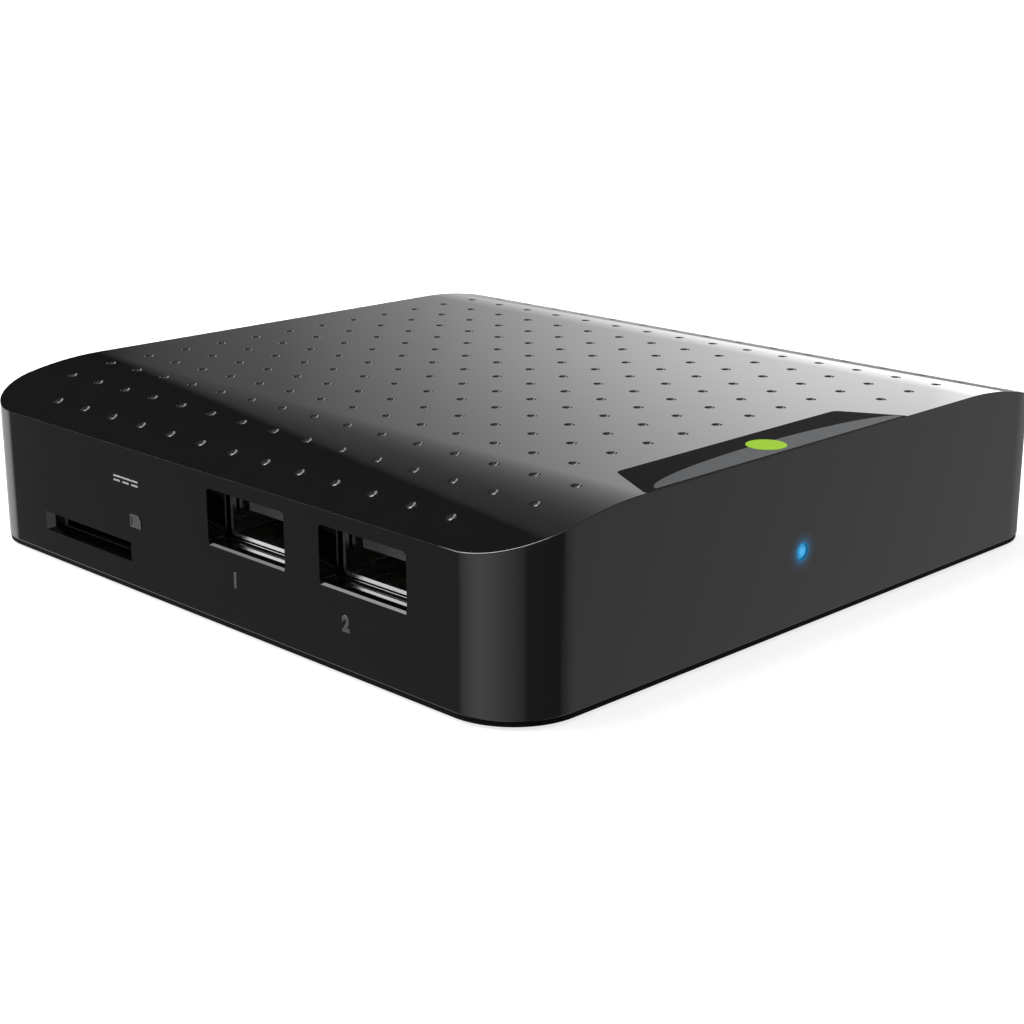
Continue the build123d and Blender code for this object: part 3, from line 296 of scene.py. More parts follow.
hollow = rounded_block(WIDTH - 2 * WALL, CORNER - WALL, HOLLOW_LOW, TOP - WALL, "hollow")
kept = [
    box_piece((-HALF, USB_Y[1] - USB_WIDTH / 2 - FRAME_WALL, USB_LOW - FRAME_WALL),
              (PORT_FACE, USB_Y[0] + USB_WIDTH / 2 + FRAME_WALL, TOP), "usb_frame"),
    box_piece((-HALF, CARD_NEAR - FRAME_WALL, CARD_LOW - FRAME_FOOT),
              (PORT_FACE, CARD_FAR + 2 * FRAME_WALL, CARD_HIGH + FRAME_WALL), "card_frame"),
]
kept += corner_rods(TOWER_LOW, TOP, TOWER_RADIUS, "tower")
for solid in kept:
    carve(hollow, solid)
carve(cover, hollow)
print("shell faces:", len(cover.data.polygons))

# %% [markdown]
# ## Shape of a USB opening
# A USB opening narrows inwards to a step just before the socket, and its lower lip slopes to the
# wall. Both slopes show as bright lines. Each of these forms is a block of its own, whose points
# are moved before it is cut away, because one block with all of them would be hard to follow.
# %% Blocks that cut one USB opening

USB_CORNER = 0.5
STEP = 0.3
STEP_FACE = -HALF + 2.3
LIP = 0.26
LIP_END = 0.2


def usb_tools(y):
    half = USB_WIDTH / 2
    funnel = box_piece((-HALF - 1, y - half, USB_LOW), (STEP_FACE, y + half, USB_HIGH), "usb_funnel")
    pick(funnel, "EDGE", lambda a, b: abs(a.x - b.x) > 1)
    bpy.ops.mesh.bevel(offset=USB_CORNER, segments=4, affect="EDGES")
    leave()
    pick(funnel, "VERT", lambda co: co.x > -HALF)
    bpy.ops.transform.resize(value=(1, 1 - STEP / half, 1))
    leave()
    inner = box_piece((STEP_FACE - 0.1, y - half + STEP, USB_LOW + STEP),
                      (PORT_FACE + 1, y + half - STEP, USB_HIGH), "usb_inner")
    slope = box_piece((STEP_FACE - 0.05, y - half + 2 * STEP, USB_LOW),
                      (STEP_FACE + STEP, y + half - STEP, USB_LOW + 1), "usb_slope")
    shift(slope, lambda co: co.x > STEP_FACE and co.z < USB_LOW + 0.1, (0, 0, STEP))
    lip = box_piece((-HALF - LIP, y - half + LIP_END, USB_LOW - LIP),
                    (-HALF + LIP, y + half - LIP_END, USB_LOW + LIP), "usb_lip")
    shift(lip, lambda co: co.x > -HALF and co.z < USB_LOW, (0, 0, LIP))
    shift(lip, lambda co: co.x < -HALF and co.z < USB_LOW, (0, 0, -LIP))
    return [funnel, inner, slope, lip]


# %% [markdown]
# ## Shape of the card opening
# The card slot sits at the back of a finger recess with a rising floor. The recess runs out to the
# left in a wedge, where a fingertip gets hold of the card.
# %% Blocks that cut the card opening

RECESS_DEPTH = 1.6
RECESS_RISE = 1.0
SLOT_INSET = 1.85
SLOT_LOW = 5.0
WEDGE_START = 1.1
WEDGE_END = 1.3
WEDGE_DEPTH = 1.2
WEDGE_LOW = CARD_LOW + 0.19
WEDGE_RISE = 0.65
WEDGE_NARROWING = 1.6


def card_tools():
    recess = box_piece((-HALF - 1, CARD_NEAR, CARD_LOW), (-HALF + RECESS_DEPTH, CARD_FAR, CARD_HIGH),
                       "card_recess")
    shift(recess, lambda co: co.x > -HALF and co.z < CARD_LOW + 0.1, (0, 0, RECESS_RISE))
    slot = box_piece((-HALF, CARD_NEAR + SLOT_INSET, SLOT_LOW),
                     (PORT_FACE + 1, CARD_FAR - SLOT_INSET, CARD_HIGH), "card_slot")
    wedge = box_piece((-HALF - 0.5, CARD_FAR - WEDGE_START, WEDGE_LOW),
                      (-HALF + WEDGE_DEPTH, CARD_FAR + WEDGE_END, CARD_HIGH), "card_wedge")
    shift(wedge, lambda co: co.x > -HALF and co.y > CARD_FAR, (0, -WEDGE_NARROWING, 0))
    shift(wedge, lambda co: co.x > -HALF and co.z < WEDGE_LOW + 0.1, (0, 0, WEDGE_RISE))
    return [recess, slot, wedge]


# %% [markdown]
# ## Cut the openings
# On the rear wall every socket has a plain square or round hole, and the square ones leave a little
# air round the socket. The front wall has one hole, for the rod of the status light, and each tower
# has one for its screw. The blocks are cut away one at a time, which keeps each cut simple.
# %% Cut all openings

# Square sockets: middle, width and height. Round ones: middle, rise over the board and radius.
BOARD = 8.6
REAR_AIR = 0.35
REAR_SOCKETS = ((-35.2, 9.0, 11.0), (-11.25, 9.8, 10.0), (2.4, 15.0, 5.6), (19.1, 15.9, 11.5))
ROUND_SOCKETS = ((-26.25, 3.0, 3.35), (-19.6, 3.4, 1.3), (34.0, 5.8, 5.95))
LIGHT_X = -3.8
LIGHT_Z = 10.1
LIGHT_RADIUS = 1.05
SCREW_LOW = 3.2
SCREW_HIGH = 13.2
SCREW_RADIUS = 1.1

tools = usb_tools(USB_Y[0]) + usb_tools(USB_Y[1]) + card_tools()
for x, width, height in REAR_SOCKETS:
    tools.append(box_piece((x - width / 2 - REAR_AIR, HALF - WALL - 1, BOARD - REAR_AIR),
                           (x + width / 2 + REAR_AIR, HALF + 1, BOARD + height + REAR_AIR), "rear_hole"))
for x, rise, radius in ROUND_SOCKETS:
    tools.append(rod_piece((x, HALF - WALL - 1, BOARD + rise), (x, HALF + 1, BOARD + rise), radius,
                           "round_hole"))
tools.append(rod_piece((LIGHT_X, -HALF - 1, LIGHT_Z), (LIGHT_X, -HALF + WALL + 1, LIGHT_Z), LIGHT_RADIUS,
                       "light_hole"))
tools += corner_rods(SCREW_LOW, SCREW_HIGH, SCREW_RADIUS, "screw_hole")
for tool in tools:
    carve(cover, tool)
print("faces after the openings:", len(cover.data.polygons))

# %% [markdown]
# ## One dimple
# A dimple is a shallow bowl, 1.4 mm wide. It is modelled once: a circle is inset three times, each
# time lower, for the bowl, and its rim is pulled out to the edge of a 6.4 mm square cell. Copies of a
# square cell meet edge to edge, which a cut with hundreds of spheres would not do as cleanly.
# %% Model one cell

PITCH = 6.4
MOUTH = 0.7
BOWL_STEPS = ((0.12, 0.19), (0.2, 0.16), (0.2, 0.05))

deselect()
bpy.ops.mesh.primitive_circle_add(vertices=16, radius=MOUTH, fill_type="NGON", location=(0, 0, TOP))
cell = new_piece("dimples")
pick(cell, "FACE", lambda centre, normal: True)
for inward, down in BOWL_STEPS:
    bpy.ops.mesh.inset(thickness=inward, depth=-down)
leave()


def on_mouth(co):
    return abs(math.hypot(co.x, co.y) - MOUTH) < 0.01


pick(cell, "EDGE", lambda a, b: on_mouth(a) and on_mouth(b))
bpy.ops.mesh.extrude_edges_move()
leave()
for point in cell.data.vertices:
    if point.select:
        reach = max(abs(point.co.x), abs(point.co.y))
        point.co.x *= PITCH / 2 / reach
        point.co.y *= PITCH / 2 / reach
print("faces in one cell:", len(cell.data.polygons))

# %% [markdown]
# ## The whole grid
# Two array modifiers repeat the cell along both sides. The corner cells and those under the
# printed inlay have no dimple on the real roof, so they are taken out again.
# %% Repeat the cell and clear its gaps

COLUMNS = 16
ROWS = 15
INLAY_COLUMNS = range(3, 11)

for count, offset in ((COLUMNS, (PITCH, 0, 0)), (ROWS, (0, PITCH, 0))):
    modify(cell, "ARRAY", count=count, use_relative_offset=False, use_constant_offset=True,
           constant_offset_displace=offset, use_merge_vertices=True, merge_threshold=0.01)
shift(cell, lambda co: True, (-(COLUMNS - 1) / 2 * PITCH, -(ROWS - 1) / 2 * PITCH, 0))


def is_bare(centre):
    """Whether a face's cell is one of the corners or lies under the inlay."""
    column = round(centre.x / PITCH + (COLUMNS - 1) / 2)
    row = round(centre.y / PITCH + (ROWS - 1) / 2)
    at_corner = column in (0, COLUMNS - 1) and row in (0, ROWS - 1)
    return at_corner or (row == 0 and column in INLAY_COLUMNS)


pick(cell, "FACE", lambda centre, normal: is_bare(centre))
bpy.ops.mesh.delete(type="FACE")
leave()
print("faces in the grid:", len(cell.data.polygons))

# %% [markdown]
# ## The pocket of the inlay
# A satin film lies in a shallow pocket at the front of the roof. The pocket is a four-sided tray,
# narrower at the back, with its two far corners rounded.
# %% Shape the tray

INLAY_X = -7.6
INLAY_FRONT = -HALF + 0.5
INLAY_BACK = INLAY_FRONT + 7.7
INLAY_FRONT_HALF = 24.6
INLAY_BACK_HALF = 20.5
INLAY_CORNER = 0.7
TRAY_GAP = 0.05
TRAY_DEPTH = 0.4

deselect()
bpy.ops.mesh.primitive_plane_add(size=2, location=(INLAY_X, 0, TOP - TRAY_DEPTH))
tray = new_piece("inlay_tray")
for point in tray.data.vertices:
    side = 1 if point.co.x > INLAY_X else -1
    at_back = point.co.y > 0
    half_width = (INLAY_BACK_HALF if at_back else INLAY_FRONT_HALF) + TRAY_GAP
    point.co.x = INLAY_X + side * half_width
    point.co.y = INLAY_BACK + TRAY_GAP if at_back else INLAY_FRONT
pick(tray, "VERT", lambda co: co.y > (INLAY_FRONT + INLAY_BACK) / 2)
bpy.ops.mesh.bevel(offset=INLAY_CORNER + TRAY_GAP, segments=6, affect="VERTICES")
leave()
pick(tray, "FACE", lambda centre, normal: True)
bpy.ops.mesh.extrude_region_move(TRANSFORM_OT_translate={"value": (0, 0, TRAY_DEPTH)})
bpy.ops.mesh.delete(type="ONLY_FACE")
leave()
print("faces of the tray:", len(tray.data.polygons))

# %% [markdown]
# ## Close the roof
# The flat lid of the block is taken off, the grid and the tray are joined in, and fill spans the
# open strip between their edges and the rim. The strip is then sliced across, because it has to
# follow the crown as closely as the cells do.
# %% Join the grid to the shell

SLICE = 1.6
SLICES = 13


def count_open_edges(piece):
    """Leaves the piece's open edges selected, and says how many there are."""
    pick(piece, "EDGE", lambda a, b: False)
    bpy.ops.mesh.select_non_manifold(extend=False, use_wire=True, use_boundary=True,
                                     use_multi_face=False, use_non_contiguous=False, use_verts=False)
    leave()
    return sum(edge.select for edge in piece.data.edges)


def is_sliced(centre, normal):
    """The roof with its tray, and the top of the front and rear walls."""
    on_top = centre.z > TOP - TRAY_DEPTH - 0.03 and abs(normal.z) > 0.1
    return on_top or normal.y**2 > 0.98 and centre.z > TOP - 3


pick(cover, "FACE", lambda centre, normal: normal.z > 0.99 and centre.z > TOP - 0.01)
bpy.ops.mesh.delete(type="ONLY_FACE")
leave()
cover = join([cover, cell, tray], "gloss_cover")
print("open edges before the fill:", count_open_edges(cover))
bpy.ops.object.mode_set(mode="EDIT")
bpy.ops.mesh.fill(use_beauty=True)
leave()
for side in (-1, 1):
    for number in range(SLICES):
        x = side * (FLAT_HALF + number * SLICE)
        pick(cover, "FACE", is_sliced)
        bpy.ops.mesh.bisect(plane_co=(x, 0, 0), plane_no=(1, 0, 0))
        leave()
print("open edges left:", count_open_edges(cover))

# %% [markdown]
# ## The crown
# Every point of the roof, outside and inside, drops by the crown's fall at its place. A formula
# moves the points here, because no bend operator works without a window. The same formula then gives
# each corner of the roof's faces its exact normal, so that gloss runs over the crown with no streaks.
# %% Lower the roof's points

for point in cover.data.vertices:
    if point.co.z > TOP - WALL - 0.1:
        point.co.z -= crown_drop(point.co.x)
face_outwards(cover)
smooth(cover, 40)


def on_roof(co):
    return abs(co.z - TOP + crown_drop(co.x)) < 0.002


def crown_normal(co):
    lean = max(abs(co.x) - FLAT_HALF, 0) / CROWN_RADIUS
    return (math.copysign(lean, co.x), 0, math.sqrt(1 - lean**2))


normals = [tuple(corner.vector) for corner in cover.data.corner_normals]
for face in cover.data.polygons:
    if all(on_roof(cover.data.vertices[number].co) for number in face.vertices):
        for corner in face.loop_indices:
            normals[corner] = crown_normal(cover.data.vertices[cover.data.loops[corner].vertex_index].co)
cover.data.normals_split_custom_set(normals)
to_metres(cover)
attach(cover, "root")
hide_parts("top_cover")
print("cover triangles:", sum(len(face.vertices) - 2 for face in cover.data.polygons))

# %% [markdown]
# ## Shared surface detail
# No moulded or metal surface is perfectly even. One node group gives every finish its fine
# unevenness: noise in Object coordinates, which stays on the piece from every side, varies the
# roughness and makes a faint bump. Stretching the noise turns it into brushing.
# %% Node group for uneven surfaces


NOISE_RANGE = (0.3, 0.7)


def make_detail_group():
    group = bpy.data.node_groups.new("uneven_surface", "ShaderNodeTree")
    inputs = (("Scale", 900.0), ("Stretch", 1.0), ("Low", 0.2), ("High", 0.3), ("Bump", 0.1))
    for name, value in inputs:
        socket = group.interface.new_socket(name=name, in_out="INPUT", socket_type="NodeSocketFloat")
        socket.default_value = value
    group.interface.new_socket(name="Roughness", in_out="OUTPUT", socket_type="NodeSocketFloat")
    group.interface.new_socket(name="Normal", in_out="OUTPUT", socket_type="NodeSocketVector")
    group.interface.new_socket(name="Shade", in_out="OUTPUT", socket_type="NodeSocketFloat")
    add, link = group.nodes.new, group.links.new
    start, end = add("NodeGroupInput"), add("NodeGroupOutput")
    place = add("ShaderNodeTexCoord")
    stretch = add("ShaderNodeCombineXYZ")
    for axis in (1, 2):
        stretch.inputs[axis].default_value = 1
    link(start.outputs["Stretch"], stretch.inputs[0])
    scaled = add("ShaderNodeVectorMath")
    scaled.operation = "MULTIPLY"
    link(place.outputs["Object"], scaled.inputs[0])
    link(stretch.outputs[0], scaled.inputs[1])
    noise = add("ShaderNodeTexNoise")
    noise.inputs["Detail"].default_value = 4
    link(scaled.outputs[0], noise.inputs["Vector"])
    link(start.outputs["Scale"], noise.inputs["Scale"])
    spread = add("ShaderNodeMapRange")
    link(noise.outputs["Fac"], spread.inputs["Value"])
    spread.inputs["From Min"].default_value = NOISE_RANGE[0]
    spread.inputs["From Max"].default_value = NOISE_RANGE[1]
    link(start.outputs["Low"], spread.inputs["To Min"])
    link(start.outputs["High"], spread.inputs["To Max"])
    bump = add("ShaderNodeBump")
    bump.inputs["Distance"].default_value = 0.0001
    link(start.outputs["Bump"], bump.inputs["Strength"])
    link(noise.outputs["Fac"], bump.inputs["Height"])
    link(spread.outputs["Result"], end.inputs["Roughness"])
    link(bump.outputs["Normal"], end.inputs["Normal"])
    link(noise.outputs["Fac"], end.inputs["Shade"])
    return group


detail_group = make_detail_group()

# %% [markdown]
# ## A finish
# Each material mixes two close tones of its colour through the same noise, so it is never one
# flat colour. Numbers that are even all over are set on the shader itself.
# %% Make one finish


TONE_RANGE = (0.35, 0.65)


def finish(name, tones, rough, scale=900.0, stretch=1.0, bump=0.1, metallic=0.0, **sockets):
    """A material between two tones and two roughnesses, with other shader sockets set by name."""
    material = bpy.data.materials.new(name)
    material.use_nodes = True
    tree = material.node_tree
    shader = tree.nodes["Principled BSDF"]
    detail = tree.nodes.new("ShaderNodeGroup")
    detail.node_tree = detail_group
    for socket, value in (("Scale", scale), ("Stretch", stretch), ("Low", rough[0]),
                          ("High", rough[1]), ("Bump", bump)):
        detail.inputs[socket].default_value = value
    ramp = tree.nodes.new("ShaderNodeValToRGB")
    for element, place, tone in zip(ramp.color_ramp.elements, TONE_RANGE, tones):
        element.position = place
        element.color = (*tone, 1)
    tree.links.new(detail.outputs["Shade"], ramp.inputs["Fac"])
    tree.links.new(ramp.outputs["Color"], shader.inputs["Base Color"])
    tree.links.new(detail.outputs["Roughness"], shader.inputs["Roughness"])
    tree.links.new(detail.outputs["Normal"], shader.inputs["Normal"])
    shader.inputs["Metallic"].default_value = metallic
    for socket, value in sockets.items():
        shader.inputs[socket.replace("_", " ")].default_value = value
    return material


def grey(low, high, tint=(1.0, 1.0, 1.0)):
    """Two close greys, or two close tones of a tint."""
    return [tuple(level * part for part in tint) for level in (low, high)]


# %% [markdown]
# ## Finishes of the case
# The cover is polished black plastic: nearly black and almost as smooth as a mirror. Its tiny
# unevenness only shows where a bright light is mirrored. The base is fine matt black. The inlay is a
# satin film, which mirrors hardly anything, as the prints on the film do. The skirt's near-black
# finish, which mirrors almost nothing, is painted shade for the shadow at the foot of the case.
# %% Case finishes

gloss_black = finish("gloss_black_plastic", grey(0.0014, 0.0018, (1, 1, 1.1)), (0.03, 0.05),
                     scale=260, bump=0.004, IOR=1.5)
inlay_black = finish("satin_inlay_film", grey(0.002, 0.003), (0.6, 0.65), scale=1500, bump=0.02,
                     Specular_IOR_Level=0.01)
matte_black = finish("matt_base_plastic", grey(0.008, 0.016), (0.45, 0.6), scale=3500, bump=0.5)
foot_rubber = finish("foot_rubber", grey(0.012, 0.02), (0.7, 0.85), scale=1800, bump=0.3)
print_grey = finish("grey_print", grey(0.035, 0.045, (0.95, 1, 1.05)), (0.4, 0.5), scale=4000, bump=0.05,
                    Specular_IOR_Level=0.02)
print_green = finish("green_print", [(0.13, 0.24, 0.003), (0.15, 0.27, 0.004)], (0.4, 0.5), scale=4000,
                     bump=0.05, Specular_IOR_Level=0.02)
# Painted sheen: the moulded marks are the wall's plastic, and their lighter grey stands in for the light
# their small faces catch.
mark_painted_sheen = finish("moulded_mark_painted_sheen", grey(0.045, 0.055), (0.28, 0.36), scale=3000, bump=0.05)
# Painted shade: the skirt's near-black finish, which mirrors almost nothing, stands in for the shadow at
# the foot of the case.
painted_shade_black = finish("painted_shade_plastic", grey(0.002, 0.003), (0.5, 0.6), scale=3000, bump=0.05,
                   Specular_IOR_Level=0.05)
print_white = finish("white_print", grey(0.3, 0.34), (0.4, 0.5), scale=4000, bump=0.05)

# %% [markdown]
# ## The status light
# A clear rod brings blue light through the front wall. Its middle is brightest and fades to the
# edge. Round it the glossy wall is given a painted glow, which stands in for the light spilling onto
# it. Both fades are measured from the rod's axis in Object coordinates, and only the front face glows.
# %% Glow round the light's axis

GLOW_REACH = 4.0
GLOW_BACK = -50.5


def add_lamp_glow_and_painted_halo(material, stops):
    """Adds emission whose colour follows the distance from the light's axis, in millimetres."""
    tree = material.node_tree
    shader = tree.nodes["Principled BSDF"]
    place = tree.nodes.new("ShaderNodeTexCoord")
    offset = tree.nodes.new("ShaderNodeVectorMath")
    offset.operation = "SUBTRACT"
    offset.inputs[1].default_value = (LIGHT_X / 1000, 0, LIGHT_Z / 1000)
    flat = tree.nodes.new("ShaderNodeVectorMath")
    flat.operation = "MULTIPLY"
    flat.inputs[1].default_value = (1000, 0, 1000)
    length = tree.nodes.new("ShaderNodeVectorMath")
    length.operation = "LENGTH"
    share = tree.nodes.new("ShaderNodeMath")
    share.operation = "DIVIDE"
    share.inputs[1].default_value = GLOW_REACH
    ramp = tree.nodes.new("ShaderNodeValToRGB")
    elements = ramp.color_ramp.elements
    for element, (radius, colour) in zip(elements, (stops[0], stops[-1])):
        element.position = radius / GLOW_REACH
        element.color = (*colour, 1)
    for radius, colour in stops[1:-1]:
        elements.new(radius / GLOW_REACH).color = (*colour, 1)
    parts = tree.nodes.new("ShaderNodeSeparateXYZ")
    in_front = tree.nodes.new("ShaderNodeMath")
    in_front.operation = "LESS_THAN"
    in_front.inputs[1].default_value = GLOW_BACK / 1000
    only_front = tree.nodes.new("ShaderNodeVectorMath")
    only_front.operation = "SCALE"
    link = tree.links.new
    link(place.outputs["Object"], offset.inputs[0])
    link(offset.outputs[0], flat.inputs[0])
    link(flat.outputs[0], length.inputs[0])
    link(length.outputs["Value"], share.inputs[0])
    link(share.outputs[0], ramp.inputs["Fac"])
    link(place.outputs["Object"], parts.inputs[0])
    link(parts.outputs["Y"], in_front.inputs[0])
    link(ramp.outputs["Color"], only_front.inputs[0])
    link(in_front.outputs[0], only_front.inputs["Scale"])
    link(only_front.outputs[0], shader.inputs["Emission Color"])
    shader.inputs["Emission Strength"].default_value = 1.0


# Painted glow: emission on the gloss cover's front face round the light hole stands in for the blue light
# spilling onto the wall.
add_lamp_glow_and_painted_halo(gloss_black, [(0.6, (0.0, 0.24, 0.5)), (0.9, (0.0, 0.13, 0.29)), (1.3, (0.0, 0.05, 0.12)),
                       (1.8, (0.0, 0.015, 0.035)), (2.6, (0.0, 0.0, 0.0))])
clear_pipe = finish("lit_light_pipe", [(0.01, 0.04, 0.1), (0.012, 0.045, 0.11)], (0.1, 0.2), bump=0.02)
add_lamp_glow_and_painted_halo(clear_pipe, [(0.0, (0.04, 0.45, 0.9)), (0.35, (0.03, 0.38, 0.76)), (0.7, (0.01, 0.24, 0.5))])
led_blue = finish("blue_diode", [(0.1, 0.3, 0.9), (0.12, 0.35, 1.0)], (0.2, 0.3), bump=0.02)

# %% [markdown]
# ## Metals and plastics of the sockets
# Socket shells are nickel plated sheet, contacts are flash gold on brass, and the bodies are black
# glass-filled nylon. Brushing is the same noise, drawn out along one side.
# %% Socket finishes

shell_steel = finish("nickel_shell", grey(0.5, 0.6), (0.16, 0.28), scale=1400, stretch=0.15, bump=0.04,
                     metallic=1.0)
screw_steel = finish("zinc_screw", grey(0.4, 0.52, (1, 1, 1.03)), (0.3, 0.45), scale=2500, bump=0.08,
                     metallic=1.0)
contact_gold = finish("gold_contact", [(0.75, 0.52, 0.18), (0.85, 0.62, 0.25)], (0.2, 0.3), scale=3000,
                      bump=0.03, metallic=1.0)
tongue_black = finish("tongue_nylon", grey(0.045, 0.06), (0.3, 0.4), scale=5000, bump=0.1)
socket_black = finish("socket_nylon", grey(0.012, 0.022), (0.38, 0.5), scale=5000, bump=0.15)
slider_white = finish("slider_acetal", grey(0.6, 0.68, (1, 1, 0.95)), (0.4, 0.5), scale=3000, bump=0.05)
button_grey = finish("button_plastic", grey(0.08, 0.1), (0.4, 0.5), scale=4000, bump=0.1)
shutter_black = finish("shutter_plastic", grey(0.015, 0.022), (0.35, 0.45), scale=4000, bump=0.1)
optical_red = finish("optical_lens", [(0.5, 0.02, 0.02), (0.6, 0.03, 0.03)], (0.08, 0.15), bump=0.01)
insulator_white = finish("insulator_nylon", grey(0.7, 0.78, (1, 1, 0.96)), (0.4, 0.5), scale=3500,
                         bump=0.05)

# %% [markdown]
# ## The board and its parts
# The board's solder mask has raised copper lines under it. A Manhattan-distance Voronoi pattern
# gives cells with straight borders, and its borders become the lines. Chips, cans and coils use
# the shared finish with their own tones.
# %% Board finishes

board_green = finish("solder_mask", [(0.008, 0.06, 0.03), (0.012, 0.085, 0.04)], (0.25, 0.35), scale=1200,
                     bump=0.05)


def add_tracks(material):
    """Lays paler green lines over a material's own colour."""
    tree = material.node_tree
    shader = tree.nodes["Principled BSDF"]
    place = tree.nodes.new("ShaderNodeTexCoord")
    cells = tree.nodes.new("ShaderNodeTexVoronoi")
    cells.distance = "MANHATTAN"
    cells.inputs["Scale"].default_value = 420
    lines = tree.nodes.new("ShaderNodeValToRGB")
    lines.color_ramp.elements[0].position = 0.42
    lines.color_ramp.elements[1].position = 0.46
    mix = tree.nodes.new("ShaderNodeMix")
    mix.data_type = "RGBA"
    mix.inputs["B"].default_value = (0.02, 0.16, 0.07, 1)
    base = shader.inputs["Base Color"].links[0].from_socket
    tree.links.new(place.outputs["Object"], cells.inputs["Vector"])
    tree.links.new(cells.outputs["Distance"], lines.inputs["Fac"])
    tree.links.new(lines.outputs["Color"], mix.inputs["Factor"])
    tree.links.new(base, mix.inputs["A"])
    tree.links.new(mix.outputs["Result"], shader.inputs["Base Color"])


add_tracks(board_green)
chip_black = finish("chip_epoxy", grey(0.018, 0.03), (0.5, 0.65), scale=4000, bump=0.2)
pad_grey = finish("thermal_pad", grey(0.25, 0.32, (0.95, 1, 1.1)), (0.6, 0.7), scale=2500, bump=0.2)
sink_aluminium = finish("anodised_fins", grey(0.55, 0.66), (0.3, 0.42), scale=1500, stretch=6.0, bump=0.08,
                        metallic=1.0)
pin_plastic = finish("pin_nylon", grey(0.6, 0.7, (1, 1, 0.93)), (0.4, 0.5), scale=3000, bump=0.05)
tin_steel = finish("tinned_steel", grey(0.52, 0.62, (1, 1, 0.98)), (0.25, 0.38), scale=1600, bump=0.08,
                   metallic=1.0)
can_aluminium = finish("capacitor_can", grey(0.58, 0.68), (0.25, 0.35), scale=1800, bump=0.05,
                       metallic=1.0)
ferrite_grey = finish("ferrite", grey(0.06, 0.09), (0.5, 0.65), scale=4500, bump=0.3)
receiver_black = finish("receiver_epoxy", [(0.01, 0.004, 0.012), (0.014, 0.006, 0.016)], (0.08, 0.14),
                        scale=1500, bump=0.01)

# %% [markdown]
# ## Give every CAD piece its finish
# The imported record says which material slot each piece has, so one loop dresses them all.
# %% Assign by slot

finishes = {
    "gloss_black": gloss_black, "matte_black": matte_black, "inlay_black": inlay_black,
    "screw_steel": screw_steel, "board_green": board_green, "chip_black": chip_black,
    "pad_grey": pad_grey, "sink_aluminium": sink_aluminium, "pin_plastic": pin_plastic,
    "tin_steel": tin_steel, "contact_gold": contact_gold, "can_aluminium": can_aluminium,
    "ferrite_grey": ferrite_grey, "clear_pipe": clear_pipe, "led_blue": led_blue,
    "receiver_black": receiver_black, "socket_black": socket_black, "shell_steel": shell_steel,
    "slider_white": slider_white, "button_grey": button_grey, "shutter_black": shutter_black,
    "optical_red": optical_red, "insulator_white": insulator_white, "foot_rubber": foot_rubber,
}
for part in frame["record"]["subparts"]:
    piece = nodes[part["node"]]
    piece.data.materials.clear()
    piece.data.materials.append(finishes[part["material_slot"]])
for name in ("usb_1_tongue", "usb_2_tongue"):
    nodes[name].data.materials[0] = tongue_black
cover.data.materials.clear()
cover.data.materials.append(gloss_black)

# %% [markdown]
# ## Prints on the inlay
# The film carries a pale crescent along its front edge and a small round mark. Each is a very thin
# printed layer, so it is a flat shape with a few hundredths of a millimetre of height. A matt black
# strip as thin as that covers the narrow land between the film and the rim: a painted reflection,
# standing in for the dark line that the rounded front edge mirrors. The skirt of painted shade gets
# its finish here too, because the same helper dresses it.
# %% Crescent, front strip and skirt

PRINT_HEIGHT = 0.02
PRINT_X = -6.8
CRESCENT_Y = -52.0
CRESCENT_HALVES = (23.4, 4.0)
CRESCENT_FRONT = INLAY_FRONT + 0.03


def dress(piece, material):
    """Brings a new piece to metres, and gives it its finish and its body."""
    to_metres(piece)
    piece.data.materials.clear()
    piece.data.materials.append(material)
    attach(piece, "root")


deselect()
bpy.ops.mesh.primitive_circle_add(vertices=96, radius=1, fill_type="NGON",
                                  location=(PRINT_X, CRESCENT_Y, TOP))
bpy.context.object.scale = (*CRESCENT_HALVES, 1)
crescent = new_piece("inlay_crescent")
pick(crescent, "FACE", lambda centre, normal: True)
bpy.ops.mesh.bisect(plane_co=(0, CRESCENT_FRONT, 0), plane_no=(0, 1, 0), clear_inner=True)
bpy.ops.mesh.select_all(action="SELECT")
bpy.ops.mesh.extrude_region_move(TRANSFORM_OT_translate={"value": (0, 0, PRINT_HEIGHT)})
leave()
dress(crescent, print_grey)
# Painted reflection: this matt black strip stands in for the dark line the rounded front edge mirrors.
dark_reflection_strip = box_piece((INLAY_X - INLAY_FRONT_HALF, -HALF + FRONT_RIM, TOP),
                       (INLAY_X + INLAY_FRONT_HALF, INLAY_FRONT, TOP + PRINT_HEIGHT), "painted_reflection_edge")
dress(dark_reflection_strip, inlay_black)
# The skirt gets the painted shade finish.
dress(skirt, painted_shade_black)
print("faces of the crescent:", len(crescent.data.polygons))

# %% [markdown]
# ## The round mark
# The green mark lies partly on the crescent, so it is printed on top of it. It starts as a very flat
# cylinder, and its upper edge is taken off by a hair, as the edge of real ink is.
# %% Flat round print

MARK_Y = -48.8
MARK_RADIUS = 2.45
MARK_MIDDLE = TOP + 0.03
MARK_EDGE = 0.008

deselect()
bpy.ops.mesh.primitive_cylinder_add(vertices=64, radius=MARK_RADIUS, depth=PRINT_HEIGHT,
                                    location=(PRINT_X, MARK_Y, MARK_MIDDLE))
mark = new_piece("inlay_round_mark")
pick(mark, "EDGE", lambda a, b: min(a.z, b.z) > MARK_MIDDLE)
bpy.ops.mesh.bevel(offset=MARK_EDGE, segments=1, affect="EDGES")
leave()
dress(mark, print_green)
print("faces of the round mark:", len(mark.data.polygons))

